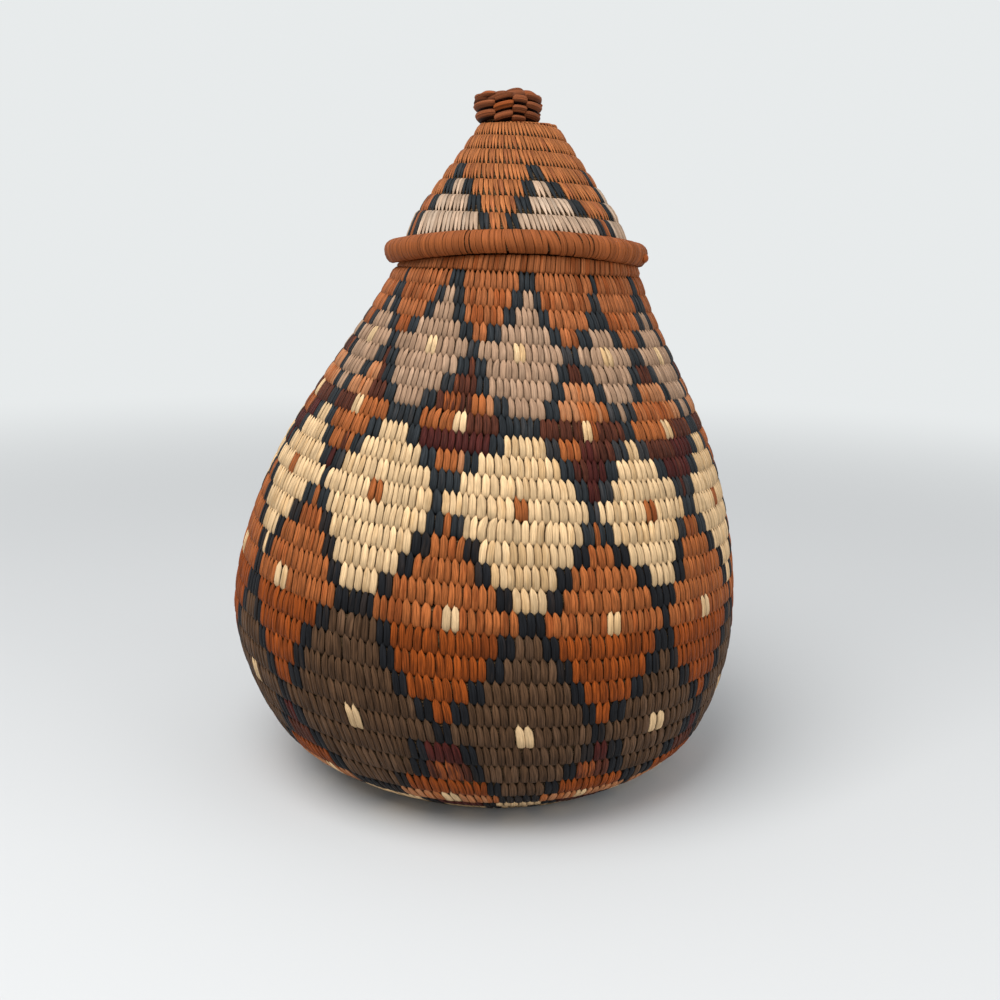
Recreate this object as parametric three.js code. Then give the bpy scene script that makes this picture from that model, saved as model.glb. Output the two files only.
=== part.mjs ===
// Lidded coiled basket: a pear-shaped pot with a flat base, and a conical lid with a plaited knob.
// Each wall is one long grass coil, wound round and round and sewn to the row before it.
// Millimetres, +Z up. The origin is under the middle of the belly, on the surface the basket stands on.
// The front is -Y. Angles run from the front towards +X.

import * as THREE from 'three';
import { mergeVertices } from 'three/addons/utils/BufferGeometryUtils.js';

// Pot: outline of the wall, measured on the crests of the rows
const baseRadius = 80;
const heelRadius = 115;
const heelHeight = 27.3;
const bellyRadius = 131.5;
const bellyHeight = 86;
const shoulderRadius = 114.6;
const shoulderHeight = 160;
const throatRadius = 71;
const throatHeight = 238.5;
const neckRadius = 58.5;
const neckHeight = 264.7;
const neckLean = 14.5;          // the neck stands this far to the right of the belly
const leanPower = 1.32;         // above 1, most of the lean is near the neck
const wallThickness = 9;
const innerBend = 4;            // half of the length over which the outline's direction is averaged

// Pot: rows of the coil
const baseRows = 8;
const wallRows = 30;
const rowGrowth = 0.5;          // the lowest wall rows are half as tall again as those at the neck
const rowDrop = 7.5;            // the middle rows run this much lower on the right than in front
const grooveDepth = 2.2;
const closingTurn = 0.125;      // the coil's end tapers away over this much of a turn
const lowerWallRows = 10;
const bellyWallRows = 10;
const shoulderWallRows = 8;

// Lid
const rimWidth = 12.5;
const rimHeight = 11;
const rimRadius = 66.3;         // outermost
const rimSag = 5;               // the rim dips this much at the sides
const lidOffset = -1.2;         // the lid sits this far from the middle of the neck
const lidTopRadius = 19;
const lidHeight = 62.3;         // from the top of the neck to the lid's flat top
const lidFootInset = 3.4;       // the lid's lowest crest lies this far inside the middle of the rim
const lidThickness = 8;
const lidTopRows = 2;
const lidSlopeRows = 7;
const lidRowGrowth = 0.3;       // the rows at the rim are this much taller than those at the knob
const lidGrooveDepth = 1.9;
const collarClearance = 0.4;    // room between the collar and the neck, on the side where the lid sits closer
const collarThickness = 7;
const collarRows = 2;
const collarRowHeight = 10;
const collarGrooveDepth = 1.2;

// Knob
const knobOffset = -5.3;        // from the lid's middle
const knobCoreRadius = 9;
const knobFootRadius = 15.2;
const knobTopRadius = 16.2;
const knobWeaveHeight = 11.4;
const knobColumns = 10;
const knobCourses = 8;
const knobBulge = 1.3;
const knobBorderHeight = 4;
const knobBorderOverhang = 0.6;

// Shared
const seatGap = 0.3;            // between pieces that rest on or are sewn to each other
const stepsPerTurn = 32;
const rimSides = 10;
const lidAxis = neckLean + lidOffset;
const lidTopHeight = neckHeight + lidHeight;

const clamp01 = (value) => Math.min(1, Math.max(0, value));

// Colours of the dyed palm
const rust = new THREE.MeshStandardMaterial({ color: 0xb5592f, roughness: 0.7, metalness: 0 });
const darkRust = new THREE.MeshStandardMaterial({ color: 0x9a4a28, roughness: 0.7, metalness: 0 });
const cream = new THREE.MeshStandardMaterial({ color: 0xdcc08c, roughness: 0.75, metalness: 0 });
const taupe = new THREE.MeshStandardMaterial({ color: 0xa8896f, roughness: 0.75, metalness: 0 });
const greyBrown = new THREE.MeshStandardMaterial({ color: 0x5f4e3f, roughness: 0.75, metalness: 0 });
const straw = new THREE.MeshStandardMaterial({ color: 0xb98d56, roughness: 0.8, metalness: 0 });

// Collects triangles and closes them into one solid, with its faces pointing out.
class Shell {
  constructor() {
    this.coordinates = [];
  }

  triangle(a, b, c) {
    this.coordinates.push(...a, ...b, ...c);
  }

  quad(a, b, c, d) {
    this.triangle(a, b, c);
    this.triangle(a, c, d);
  }

  geometry() {
    const loose = new THREE.BufferGeometry();
    loose.setAttribute('position', new THREE.Float32BufferAttribute(this.coordinates, 3));
    const merged = mergeVertices(loose, 1e-3);
    const old = merged.index.array;
    const kept = [];
    for (let i = 0; i < old.length; i += 3) {
      const [a, b, c] = [old[i], old[i + 1], old[i + 2]];
      if (a !== b && b !== c && c !== a) kept.push(a, b, c);
    }
    if (signedVolume(merged, kept) < 0) kept.reverse();
    merged.setIndex(kept);
    merged.computeVertexNormals();
    return merged;
  }
}

function signedVolume(geometry, index) {
  const place = geometry.attributes.position;
  const corner = index.map((i) => new THREE.Vector3().fromBufferAttribute(place, i));
  let volume = 0;
  for (let i = 0; i < corner.length; i += 3) {
    volume += corner[i].dot(corner[i + 1].clone().cross(corner[i + 2])) / 6;
  }
  return volume;
}

// One run of a coil, from one turn to another, as a closed solid. A turn's row lies between
// edge(turn - 1) and edge(turn), which are places across the rows, counted in rows.
// surface(place, angle, depth, shift) is the point that far under the crests of the wall,
// with shift moving it along the outline.
function coilRun({ surface, edge, direction, thickness, groove, from, turns, openStart, openEnd }) {
  const shell = new Shell();
  const steps = Math.round(turns * stepsPerTurn);
  const crests = [0.3, 0.7];
  const outer = [];
  const inner = [];
  for (let i = 0; i <= steps; i += 1) {
    const turn = from + i / stepsPerTurn;
    const angle = direction * 2 * Math.PI * turn;
    const low = edge(turn - 1);
    const high = edge(turn);
    const lowShift = openStart && i < stepsPerTurn ? seatGap / 2 : 0;
    const highShift = openEnd && i > steps - stepsPerTurn ? -seatGap / 2 : 0;
    outer.push([
      surface(low, angle, groove(low), lowShift),
      ...crests.map((share) => surface(low + (high - low) * share, angle, 0, 0)),
      surface(high, angle, groove(high), highShift),
    ]);
    inner.push([surface(low, angle, thickness, lowShift), surface(high, angle, thickness, highShift)]);
  }
  const last = crests.length + 1;
  for (let i = 0; i < steps; i += 1) {
    for (let j = 0; j < last; j += 1) {
      shell.quad(outer[i][j], outer[i + 1][j], outer[i + 1][j + 1], outer[i][j + 1]);
    }
    shell.quad(inner[i][0], inner[i][1], inner[i + 1][1], inner[i + 1][0]);
    if (i < stepsPerTurn) shell.quad(outer[i][0], inner[i][0], inner[i + 1][0], outer[i + 1][0]);
    if (i >= steps - stepsPerTurn) {
      shell.quad(outer[i][last], outer[i + 1][last], inner[i + 1][1], inner[i][1]);
    }
  }
  const cutFace = (row, back, flip) => {
    const rim = [...row, back[1]];
    for (let j = 0; j + 1 < rim.length; j += 1) {
      if (flip) shell.triangle(back[0], rim[j + 1], rim[j]);
      else shell.triangle(back[0], rim[j], rim[j + 1]);
    }
  };
  cutFace(outer[0], inner[0], false);
  cutFace(outer[steps], inner[steps], true);
  return shell.geometry();
}

// A row's upper edge rises evenly with the turns, and meets the wall's last place quickly at the
// back, where the coil's end is sewn down.
function closingEdge(rows) {
  const lastFree = rows - 0.5;
  return (turn) => {
    if (turn <= lastFree) return Math.max(0, turn);
    return Math.min(rows, lastFree + (0.5 * (turn - lastFree)) / closingTurn);
  };
}

// The outline of a wall: a flat disc, and then a curve that starts at the disc's edge.
function outline(discRadius, discHeight, curve) {
  const length = discRadius + curve.getLength();
  const point = (along) => {
    if (along <= discRadius) return new THREE.Vector2(along, discHeight);
    return curve.getPointAt(clamp01((along - discRadius) / (length - discRadius)));
  };
  const outward = (along) => {
    const before = point(Math.max(0, along - innerBend));
    const after = point(Math.min(length, along + innerBend));
    const way = after.sub(before).normalize();
    return new THREE.Vector2(way.y, -way.x);
  };
  return { length, point, outward };
}

function smoothCurve(points) {
  const curve = new THREE.SplineCurve(points.map(([radius, height]) => new THREE.Vector2(radius, height)));
  curve.arcLengthDivisions = 400;
  return curve;
}

const potOutline = outline(baseRadius, 0, smoothCurve([
  [baseRadius, 0],
  [heelRadius, heelHeight],
  [bellyRadius, bellyHeight],
  [shoulderRadius, shoulderHeight],
  [throatRadius, throatHeight],
  [neckRadius, neckHeight],
]));

// The pot's middle leans to the right, more and more towards the neck, and a little towards the foot.
function leanAt(height) {
  return neckLean * (Math.abs(height - bellyHeight) / (neckHeight - bellyHeight)) ** leanPower;
}

// How far along the outline a place across the rows lies. Rows grow taller from neck to foot.
function potLength(place) {
  if (place <= baseRows) return (place / baseRows) * baseRadius;
  const down = baseRows + wallRows - place;
  const share = (down + (rowGrowth * down ** 3) / (3 * wallRows ** 2)) / (wallRows * (1 + rowGrowth / 3));
  return baseRadius + (potOutline.length - baseRadius) * (1 - share);
}

const topRowHeight = potOutline.length - potLength(baseRows + wallRows - 1);

function potSurface(place, angle, depth, shift) {
  const upTheWall = clamp01((place - baseRows) / wallRows);
  const along = potLength(place) - rowDrop * Math.sin(angle) * Math.sin(Math.PI * upTheWall) + shift;
  const crest = potOutline.point(along);
  const out = potOutline.outward(along);
  const radius = crest.x - depth * out.x;
  const height = crest.y - depth * out.y;
  const nearRim = clamp01((height - (neckHeight - topRowHeight)) / topRowHeight);
  return [
    leanAt(height) + radius * Math.sin(angle),
    -radius * Math.cos(angle),
    height - rimSag * Math.sin(angle) ** 2 * nearRim,
  ];
}

const potRows = baseRows + wallRows;
const potEdge = closingEdge(potRows);
const seamTurn = seatGap / (2 * Math.PI * neckRadius);

function potRun(number, from, rows, options = {}) {
  return coilRun({
    surface: potSurface,
    edge: potEdge,
    direction: -1,
    thickness: wallThickness,
    groove: (place) => (place < 1 || place >= potRows ? 0 : grooveDepth),
    from: from + number * seamTurn,
    turns: rows,
    openStart: true,
    openEnd: true,
    ...options,
  });
}

const neckRows = wallRows - lowerWallRows - bellyWallRows - shoulderWallRows;
const lowerStart = baseRows;
const bellyStart = lowerStart + lowerWallRows;
const shoulderStart = bellyStart + bellyWallRows;
const neckStart = shoulderStart + shoulderWallRows;

// Rim of the lid: a thicker coil that rests on the neck and stands out past it.
const rimMiddle = rimRadius - rimWidth / 2;
const rimCentreHeight = neckHeight + seatGap + rimHeight / 2;

function lidRim() {
  const shell = new Shell();
  const at = (i, j) => {
    const angle = (2 * Math.PI * i) / stepsPerTurn;
    const round = (2 * Math.PI * j) / rimSides;
    const radius = rimMiddle + (rimWidth / 2) * Math.cos(round);
    const height = rimCentreHeight + (rimHeight / 2) * Math.sin(round);
    return [
      lidAxis + radius * Math.sin(angle),
      -radius * Math.cos(angle),
      height - rimSag * Math.sin(angle) ** 2,
    ];
  };
  for (let i = 0; i < stepsPerTurn; i += 1) {
    for (let j = 0; j < rimSides; j += 1) {
      shell.quad(at(i, j), at(i + 1, j), at(i + 1, j + 1), at(i, j + 1));
    }
  }
  return shell.geometry();
}

// Lid cone, wound from the middle of its top down to the rim
const lidFootRadius = rimMiddle - lidFootInset;
const lidFootHeight = footHeightOnRim();
const lidOutline = outline(lidTopRadius, lidTopHeight, new THREE.LineCurve(
  new THREE.Vector2(lidTopRadius, lidTopHeight),
  new THREE.Vector2(lidFootRadius, lidFootHeight),
));
const lidRows = lidTopRows + lidSlopeRows;

// The lowest row stands on the rim's coil: the face that closes it just clears the rim's section.
// The face is square to the slope, which its height changes a little, so the height is found in steps.
function footHeightOnRim() {
  let height = rimCentreHeight + rimHeight / 2;
  for (let i = 0; i < 20; i += 1) {
    const down = new THREE.Vector2(lidFootRadius - lidTopRadius, height - lidTopHeight).normalize();
    const reach = Math.hypot((rimWidth / 2) * down.x, (rimHeight / 2) * down.y) + seatGap;
    height = rimCentreHeight - (reach - lidFootInset * down.x) / down.y;
  }
  return height;
}

function lidLength(place) {
  if (place <= lidTopRows) return (place / lidTopRows) * lidTopRadius;
  const down = place - lidTopRows;
  const share = (down + (lidRowGrowth * down ** 2) / (2 * lidSlopeRows)) / (lidSlopeRows * (1 + lidRowGrowth / 2));
  return lidTopRadius + (lidOutline.length - lidTopRadius) * share;
}

function lidSurface(place, angle, depth, shift) {
  const along = lidLength(place) + shift;
  const crest = lidOutline.point(along);
  const out = lidOutline.outward(along);
  const radius = crest.x + depth * out.x;
  const height = crest.y + depth * out.y;
  const nearRim = clamp01(place - lidRows + 1);
  return [
    lidAxis + radius * Math.sin(angle),
    -radius * Math.cos(angle),
    height - rimSag * Math.sin(angle) ** 2 * nearRim,
  ];
}

function lidCone() {
  return coilRun({
    surface: lidSurface,
    edge: closingEdge(lidRows),
    direction: 1,
    thickness: lidThickness,
    groove: (place) => (place < 1 || place >= lidRows ? 0 : lidGrooveDepth),
    from: 0,
    turns: lidRows + 0.5 + closingTurn,
  });
}

// Collar: rows sewn under the lid that drop inside the neck and keep the lid in place
const collarRadius = neckRadius - wallThickness - Math.abs(lidOffset) - collarClearance;
const lidSlope = (lidTopHeight - lidFootHeight) / (lidFootRadius - lidTopRadius);
const lidOut = lidOutline.outward(lidOutline.length);
const lidInnerFootRadius = lidFootRadius + lidThickness * lidOut.x;
const lidInnerFootHeight = lidFootHeight + lidThickness * lidOut.y;
const collarTop = lidInnerFootHeight + (lidInnerFootRadius - collarRadius) * lidSlope - seatGap;

function lidCollar() {
  const surface = (place, angle, depth) => {
    const radius = collarRadius - depth;
    return [
      lidAxis + radius * Math.sin(angle),
      -radius * Math.cos(angle),
      collarTop - place * collarRowHeight - rimSag * Math.sin(angle) ** 2,
    ];
  };
  return coilRun({
    surface,
    edge: closingEdge(collarRows),
    direction: 1,
    thickness: collarThickness,
    groove: (place) => (place <= 0 || place >= collarRows ? 0 : collarGrooveDepth),
    from: 0,
    turns: collarRows + 0.5 + closingTurn,
  });
}

// Knob: strips woven round a core, in columns whose bulges alternate, under a folded border
const knobAxis = lidAxis + knobOffset;
const knobFoot = lidTopHeight + seatGap;
const knobTop = knobFoot + knobWeaveHeight + seatGap;

function knobCore() {
  const core = new THREE.CylinderGeometry(knobCoreRadius, knobCoreRadius, knobWeaveHeight, 20);
  core.rotateX(Math.PI / 2);
  core.translate(knobAxis, 0, knobFoot + knobWeaveHeight / 2);
  return core;
}

function knobWeave() {
  const shell = new Shell();
  const around = knobColumns * 2;
  const innerRadius = knobCoreRadius + seatGap;
  const at = (radius, i, height) => {
    const angle = (2 * Math.PI * (i % around)) / around;
    return [knobAxis + radius * Math.sin(angle), -radius * Math.cos(angle), height];
  };
  const outer = (i, j) => {
    const share = j / knobCourses;
    const column = Math.floor((i % around) / 2);
    const proud = i % 2 === 1 && (column + j) % 2 === 0 ? knobBulge : 0;
    const radius = knobFootRadius + (knobTopRadius - knobFootRadius) * share + proud;
    return at(radius, i, knobFoot + knobWeaveHeight * share);
  };
  for (let i = 0; i < around; i += 1) {
    for (let j = 0; j < knobCourses; j += 1) {
      shell.quad(outer(i, j), outer(i + 1, j), outer(i + 1, j + 1), outer(i, j + 1));
    }
    const low = [at(innerRadius, i, knobFoot), at(innerRadius, i + 1, knobFoot)];
    const top = knobFoot + knobWeaveHeight;
    const high = [at(innerRadius, i, top), at(innerRadius, i + 1, top)];
    shell.quad(low[0], high[0], high[1], low[1]);
    shell.quad(outer(i, 0), low[0], low[1], outer(i + 1, 0));
    shell.quad(outer(i, knobCourses), outer(i + 1, knobCourses), high[1], high[0]);
  }
  return shell.geometry();
}

function knobBorder() {
  const edge = knobTopRadius + knobBorderOverhang;
  const crown = knobBorderHeight / 4;
  const profile = [
    new THREE.Vector2(0, 0),
    new THREE.Vector2(edge - crown, 0),
    new THREE.Vector2(edge, crown),
    new THREE.Vector2(edge - crown, 2 * crown),
    new THREE.Vector2(knobCoreRadius, knobBorderHeight),
    new THREE.Vector2(0, knobBorderHeight - crown),
  ];
  const border = new THREE.LatheGeometry(profile, knobColumns * 2);
  border.rotateX(Math.PI / 2);
  border.translate(knobAxis, 0, knobTop);
  return border;
}

const basket = new THREE.Group();

function add(parent, name, geometry, material) {
  const mesh = new THREE.Mesh(geometry, material);
  mesh.name = name;
  parent.add(mesh);
}

const pot = new THREE.Group();
add(pot, 'base_coil', potRun(0, 0, baseRows, { openStart: false }), straw);
add(pot, 'lower_wall_coil', potRun(1, lowerStart, lowerWallRows), greyBrown);
add(pot, 'belly_wall_coil', potRun(2, bellyStart, bellyWallRows), cream);
add(pot, 'shoulder_coil', potRun(3, shoulderStart, shoulderWallRows), taupe);
add(pot, 'neck_coil', potRun(4, neckStart, neckRows + 0.5 + closingTurn, { openEnd: false }), rust);

const lid = new THREE.Group();
add(lid, 'lid_rim_coil', lidRim(), darkRust);
add(lid, 'lid_cone_coil', lidCone(), rust);
add(lid, 'lid_collar_coil', lidCollar(), straw);
add(lid, 'knob_core', knobCore(), straw);
add(lid, 'knob_weave', knobWeave(), darkRust);
add(lid, 'knob_border', knobBorder(), darkRust);

basket.add(pot, lid);

export default basket;
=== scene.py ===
"""Looks of a lidded coiled basket, laid out as an add-on and run as a script.

A coiled basket is one long bundle of grass for each wall, wound in a spiral, and every row is wrapped
with strips of dyed palm that are sewn into the row before it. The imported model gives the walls. This
file lays the grass coil and each strip on them: every strip is a closed leaf-shaped tube of its own.

Lengths are in millimetres until a mesh is made, and +Z is up. Angles run from the front (-Y) towards +X.
"""

import math

import bpy
import numpy as np
from mathutils import Matrix, Vector


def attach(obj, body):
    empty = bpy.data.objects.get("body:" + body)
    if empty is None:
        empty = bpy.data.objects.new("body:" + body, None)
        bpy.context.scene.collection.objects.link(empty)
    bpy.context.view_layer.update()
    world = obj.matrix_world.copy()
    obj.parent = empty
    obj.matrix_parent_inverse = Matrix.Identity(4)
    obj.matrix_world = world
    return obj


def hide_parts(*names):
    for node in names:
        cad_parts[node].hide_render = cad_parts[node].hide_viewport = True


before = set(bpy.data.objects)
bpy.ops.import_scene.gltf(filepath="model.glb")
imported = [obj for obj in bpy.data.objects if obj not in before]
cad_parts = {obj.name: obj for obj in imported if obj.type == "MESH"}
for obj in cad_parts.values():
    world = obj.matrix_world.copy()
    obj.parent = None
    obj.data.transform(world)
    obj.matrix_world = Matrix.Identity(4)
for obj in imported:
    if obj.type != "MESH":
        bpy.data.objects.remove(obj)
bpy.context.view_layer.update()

bl_info = {
    "name": "Coiled basket looks",
    "version": (1, 0, 0),
    "blender": (4, 5, 0),
    "location": "View3D > Sidebar > Basket",
    "description": "Lays the grass coils and palm stitches of a lidded coiled basket on its packed model",
    "category": "Add Mesh",
}

# The walls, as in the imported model

POT_OUTLINE = ((80, 0), (115, 27.3), (131.5, 86), (114.6, 160), (71, 238.5), (58.5, 264.7))
BELLY_HEIGHT = 86
NECK_HEIGHT = 264.7
NECK_RADIUS = 58.5
NECK_LEAN = 14.5
LEAN_POWER = 1.32
WALL = 9
BASE_ROWS = 8
WALL_ROWS = 30
ROW_GROWTH = 0.5
ROW_DROP = 7.5
CLOSING_TURN = 0.125

SEAT_GAP = 0.3
RIM_WIDTH = 12.5
RIM_HEIGHT = 11
RIM_RADIUS = 66.3
RIM_SAG = 5
LID_OFFSET = -1.2
LID_TOP_RADIUS = 19
LID_HEIGHT = 62.3
LID_FOOT_INSET = 3.4
LID_WALL = 8
LID_TOP_ROWS = 2
LID_SLOPE_ROWS = 7
LID_ROW_GROWTH = 0.3
COLLAR_CLEARANCE = 0.4
COLLAR_WALL = 7
COLLAR_ROWS = 2
COLLAR_ROW_HEIGHT = 10

KNOB_OFFSET = -5.3
KNOB_HEIGHT = 11.4

POT_ROWS = BASE_ROWS + WALL_ROWS
LID_ROWS = LID_TOP_ROWS + LID_SLOPE_ROWS
LID_AXIS = NECK_LEAN + LID_OFFSET
LID_TOP = NECK_HEIGHT + LID_HEIGHT
RIM_MIDDLE = RIM_RADIUS - RIM_WIDTH / 2
RIM_CENTRE = NECK_HEIGHT + SEAT_GAP + RIM_HEIGHT / 2
KNOB_AXIS = LID_AXIS + KNOB_OFFSET
KNOB_FOOT = LID_TOP + SEAT_GAP

MM = 1000                        # millimetres in a metre
UV_NAME = "strip"
POT_BODY = "pot"
LID_BODY = "lid"


def turned(axis, radius, angle, height):
    """Points at that radius, angle and height round an upright axis that stands at x = axis."""
    x, y = axis + radius * np.sin(angle), -radius * np.cos(angle)
    return np.stack(np.broadcast_arrays(x, y, height), axis=-1)


def circle(count):
    """That many angles in equal steps round a circle."""
    return np.linspace(0, 2 * np.pi, count, endpoint=False)


def per_ring(values):
    """Values of the rings of a tube, on an axis of their own."""
    return np.array(values, float)[:, None]


def signed_power(value, power):
    """A power of the size that keeps the sign."""
    return np.sign(value) * np.abs(value) ** power


def sag(angle):
    """How much lower the mouth and the rim are at that angle: they dip at both sides."""
    return RIM_SAG * np.sin(angle) ** 2


def smooth_line(points, share):
    """Points of a uniform Catmull-Rom curve, whose end points count twice, at shares 0 to 1 of its knots."""
    knots = np.array(points, float)
    last = len(knots) - 1
    at = last * np.asarray(share, float)
    i = np.minimum(np.floor(at).astype(int), last)
    t = (at - i)[:, None]
    before, here = knots[np.maximum(i - 1, 0)], knots[i]
    after, beyond = knots[np.minimum(i + 1, last)], knots[np.minimum(i + 2, last)]
    way_in, way_out = (after - before) / 2, (beyond - here) / 2
    return (
        (2 * here - 2 * after + way_in + way_out) * t**3
        + (3 * after - 3 * here - 2 * way_in - way_out) * t**2
        + way_in * t
        + here
    )


SQUARE_REACH = 4


class Outline:
    """A wall's outline: a flat disc and then a curve, looked up by the length along it.

    The outward direction is square to the line between the points SQUARE_REACH before and after.
    """

    def __init__(self, disc_radius, disc_height, curve_points):
        dense = smooth_line(curve_points, np.linspace(0, 1, 4001))
        gone = np.concatenate([[0], np.cumsum(np.hypot(*np.diff(dense, axis=0).T))])
        self.length = disc_radius + gone[-1]
        self.along = np.linspace(0, self.length, 4000)
        on_disc = self.along <= disc_radius
        past = self.along - disc_radius
        self.radius = np.where(on_disc, self.along, np.interp(past, gone, dense[:, 0]))
        self.height = np.where(on_disc, disc_height, np.interp(past, gone, dense[:, 1]))
        before = np.maximum(self.along - SQUARE_REACH, 0)
        after = np.minimum(self.along + SQUARE_REACH, self.length)
        run = self.look(self.radius, after) - self.look(self.radius, before)
        rise = self.look(self.height, after) - self.look(self.height, before)
        size = np.hypot(run, rise)
        self.out_radius, self.out_height = rise / size, -run / size

    def look(self, table, along):
        return np.interp(along, self.along, table)

    def at(self, along, depth):
        """Radius and height of the point that far along the outline and that deep under it."""
        radius = self.look(self.radius, along) - depth * self.look(self.out_radius, along)
        height = self.look(self.height, along) - depth * self.look(self.out_height, along)
        return radius, height


def closing_edge(rows):
    """A row's upper edge rises by a row each turn, and reaches the wall's last place quickly at the back."""
    free = rows - 0.5

    def edge(turn):
        closing = np.minimum(rows, free + 0.5 * (turn - free) / CLOSING_TURN)
        return np.where(turn <= free, np.maximum(turn, 0), closing)

    return edge


POT = Outline(POT_OUTLINE[0][0], 0, POT_OUTLINE)


def pot_length(place):
    """Length along the outline of a place across the rows, which grow taller from neck to foot."""
    down = POT_ROWS - place
    share = (down + ROW_GROWTH * down**3 / (3 * WALL_ROWS**2)) / (WALL_ROWS * (1 + ROW_GROWTH / 3))
    disc = POT_OUTLINE[0][0]
    return np.where(place <= BASE_ROWS, place / BASE_ROWS * disc, disc + (POT.length - disc) * (1 - share))


TOP_ROW_HEIGHT = float(POT.length - pot_length(np.array(POT_ROWS - 1.0)))


def pot_surface(place, angle, depth):
    """Point of the pot's wall: the outline turned round an axis that leans to the right towards the neck,
    with the rows running lower on the right, and the mouth dipping at the sides."""
    up = np.clip((place - BASE_ROWS) / WALL_ROWS, 0, 1)
    along = pot_length(place) - ROW_DROP * np.sin(angle) * np.sin(np.pi * up)
    radius, height = POT.at(along, depth)
    near_rim = np.clip((height - (NECK_HEIGHT - TOP_ROW_HEIGHT)) / TOP_ROW_HEIGHT, 0, 1)
    lean = NECK_LEAN * (np.abs(height - BELLY_HEIGHT) / (NECK_HEIGHT - BELLY_HEIGHT)) ** LEAN_POWER
    return turned(lean, radius, angle, height - sag(angle) * near_rim)


def lid_foot_height():
    """Height at which the lid's lowest row just clears the rim's section, found in steps, because each
    new height turns the slope a little."""
    height = RIM_CENTRE + RIM_HEIGHT / 2
    run = RIM_MIDDLE - LID_FOOT_INSET - LID_TOP_RADIUS
    for _ in range(20):
        size = math.hypot(run, height - LID_TOP)
        down_r, down_z = run / size, (height - LID_TOP) / size
        reach = math.hypot(RIM_WIDTH / 2 * down_r, RIM_HEIGHT / 2 * down_z) + SEAT_GAP
        height = RIM_CENTRE - (reach - LID_FOOT_INSET * down_r) / down_z
    return height


LID_FOOT_RADIUS = RIM_MIDDLE - LID_FOOT_INSET
LID_FOOT = lid_foot_height()
LID = Outline(LID_TOP_RADIUS, LID_TOP, ((LID_TOP_RADIUS, LID_TOP), (LID_FOOT_RADIUS, LID_FOOT)))


def lid_surface(place, angle, depth):
    """Point of the lid's wall: a small flat disc and a cone round the lid's axis, counted downwards, whose
    last row dips at the sides with the rim. The outline runs downwards, so its square points inwards."""
    down = place - LID_TOP_ROWS
    grown = down + LID_ROW_GROWTH * down**2 / (2 * LID_SLOPE_ROWS)
    share = grown / (LID_SLOPE_ROWS * (1 + LID_ROW_GROWTH / 2))
    slope = LID_TOP_RADIUS + (LID.length - LID_TOP_RADIUS) * share
    along = np.where(place <= LID_TOP_ROWS, place / LID_TOP_ROWS * LID_TOP_RADIUS, slope)
    radius, height = LID.at(along, -depth)
    near_rim = np.clip(place - LID_ROWS + 1, 0, 1)
    return turned(LID_AXIS, radius, angle, height - sag(angle) * near_rim)


COLLAR_RADIUS = NECK_RADIUS - WALL - abs(LID_OFFSET) - COLLAR_CLEARANCE
LID_INNER_FOOT = LID.at(np.array([LID.length]), -LID_WALL)
COLLAR_TOP = float(
    LID_INNER_FOOT[1][0]
    + (LID_INNER_FOOT[0][0] - COLLAR_RADIUS) * (LID_TOP - LID_FOOT) / (LID_FOOT_RADIUS - LID_TOP_RADIUS)
    - SEAT_GAP
)


def collar_surface(place, angle, depth):
    """Point of the collar under the lid: an upright wall counted downwards, which dips with the rim."""
    height = COLLAR_TOP - place * COLLAR_ROW_HEIGHT - sag(angle)
    return turned(LID_AXIS, COLLAR_RADIUS - depth, angle, height)


class Wall:
    """One spiral wall: its surface, the places of its rows, which way it winds, and its thickness."""

    def __init__(self, surface, rows, direction, thickness):
        self.surface, self.rows, self.direction, self.thickness = surface, rows, direction, thickness
        self.edge = closing_edge(rows)
        self.turns = rows + 0.5 + CLOSING_TURN

    def point(self, turn, across, depth):
        """Point at that turn of the spiral. across runs from -0.5 to 0.5 over the row, and may pass both."""
        low, high = self.edge(turn - 1), self.edge(turn)
        place = low * (0.5 - across) + high * (0.5 + across)
        return self.surface(place, self.direction * 2 * np.pi * turn, depth)

    def spiral_length(self):
        """Turns on a fine grid, and the length of coil wound up to each."""
        turns = np.linspace(0, self.turns, int(96 * self.turns))
        middle = self.point(turns, 0.0, 0.0)
        steps = np.linalg.norm(np.diff(middle, axis=0), axis=1)
        return turns, np.concatenate([[0], np.cumsum(steps)])


POT_WALL = Wall(pot_surface, POT_ROWS, -1, WALL)
LID_WALL_COIL = Wall(lid_surface, LID_ROWS, 1, LID_WALL)
COLLAR = Wall(collar_surface, COLLAR_ROWS, 1, COLLAR_WALL)

# Meshes


def tube_faces(count, rings, sides, closed):
    """Corners of the faces of that many tubes: quads between the rings, and a cap at each end. A closed
    tube has no caps, because its last ring joins the first."""
    first, side = np.arange(count)[:, None, None] * rings * sides, np.arange(sides)
    ring = np.arange(rings if closed else rings - 1)[:, None]
    here, there = first + ring * sides, first + (ring + 1) % rings * sides
    after = (side + 1) % sides
    quads = np.stack([here + side, here + after, there + after, there + side], axis=-1).reshape(-1, 4)
    start, end = first[:, 0] + side[::-1], first[:, 0] + (rings - 1) * sides + side
    return quads, np.concatenate([start, end])[:0 if closed else None]


def volume_under(where, faces):
    """Six times the volume between the origin and those faces, each a fan round its first corner."""
    fan = where[faces]
    return sum(
        np.einsum("ij,ij->", fan[:, 0], np.cross(fan[:, i], fan[:, i + 1]))
        for i in range(1, faces.shape[1] - 1)
    )


def tubes(points, across, along, tones, closed=False):
    """What grow_mesh needs: points (tubes, rings, sides, 3) in mm, how far across and along its strip each
    one lies, the tone of each tube, and whether its ends meet. A single tube needs no first axis."""
    across, along = (np.broadcast_to(v, points.shape[:-1]) for v in (across, along))
    strips = np.stack([across, along], axis=-1)
    if points.ndim == 3:
        points, strips, tones = points[None], strips[None], np.array([tones])
    return {"points": points, "strips": strips, "tones": tones, "closed": closed}


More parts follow.
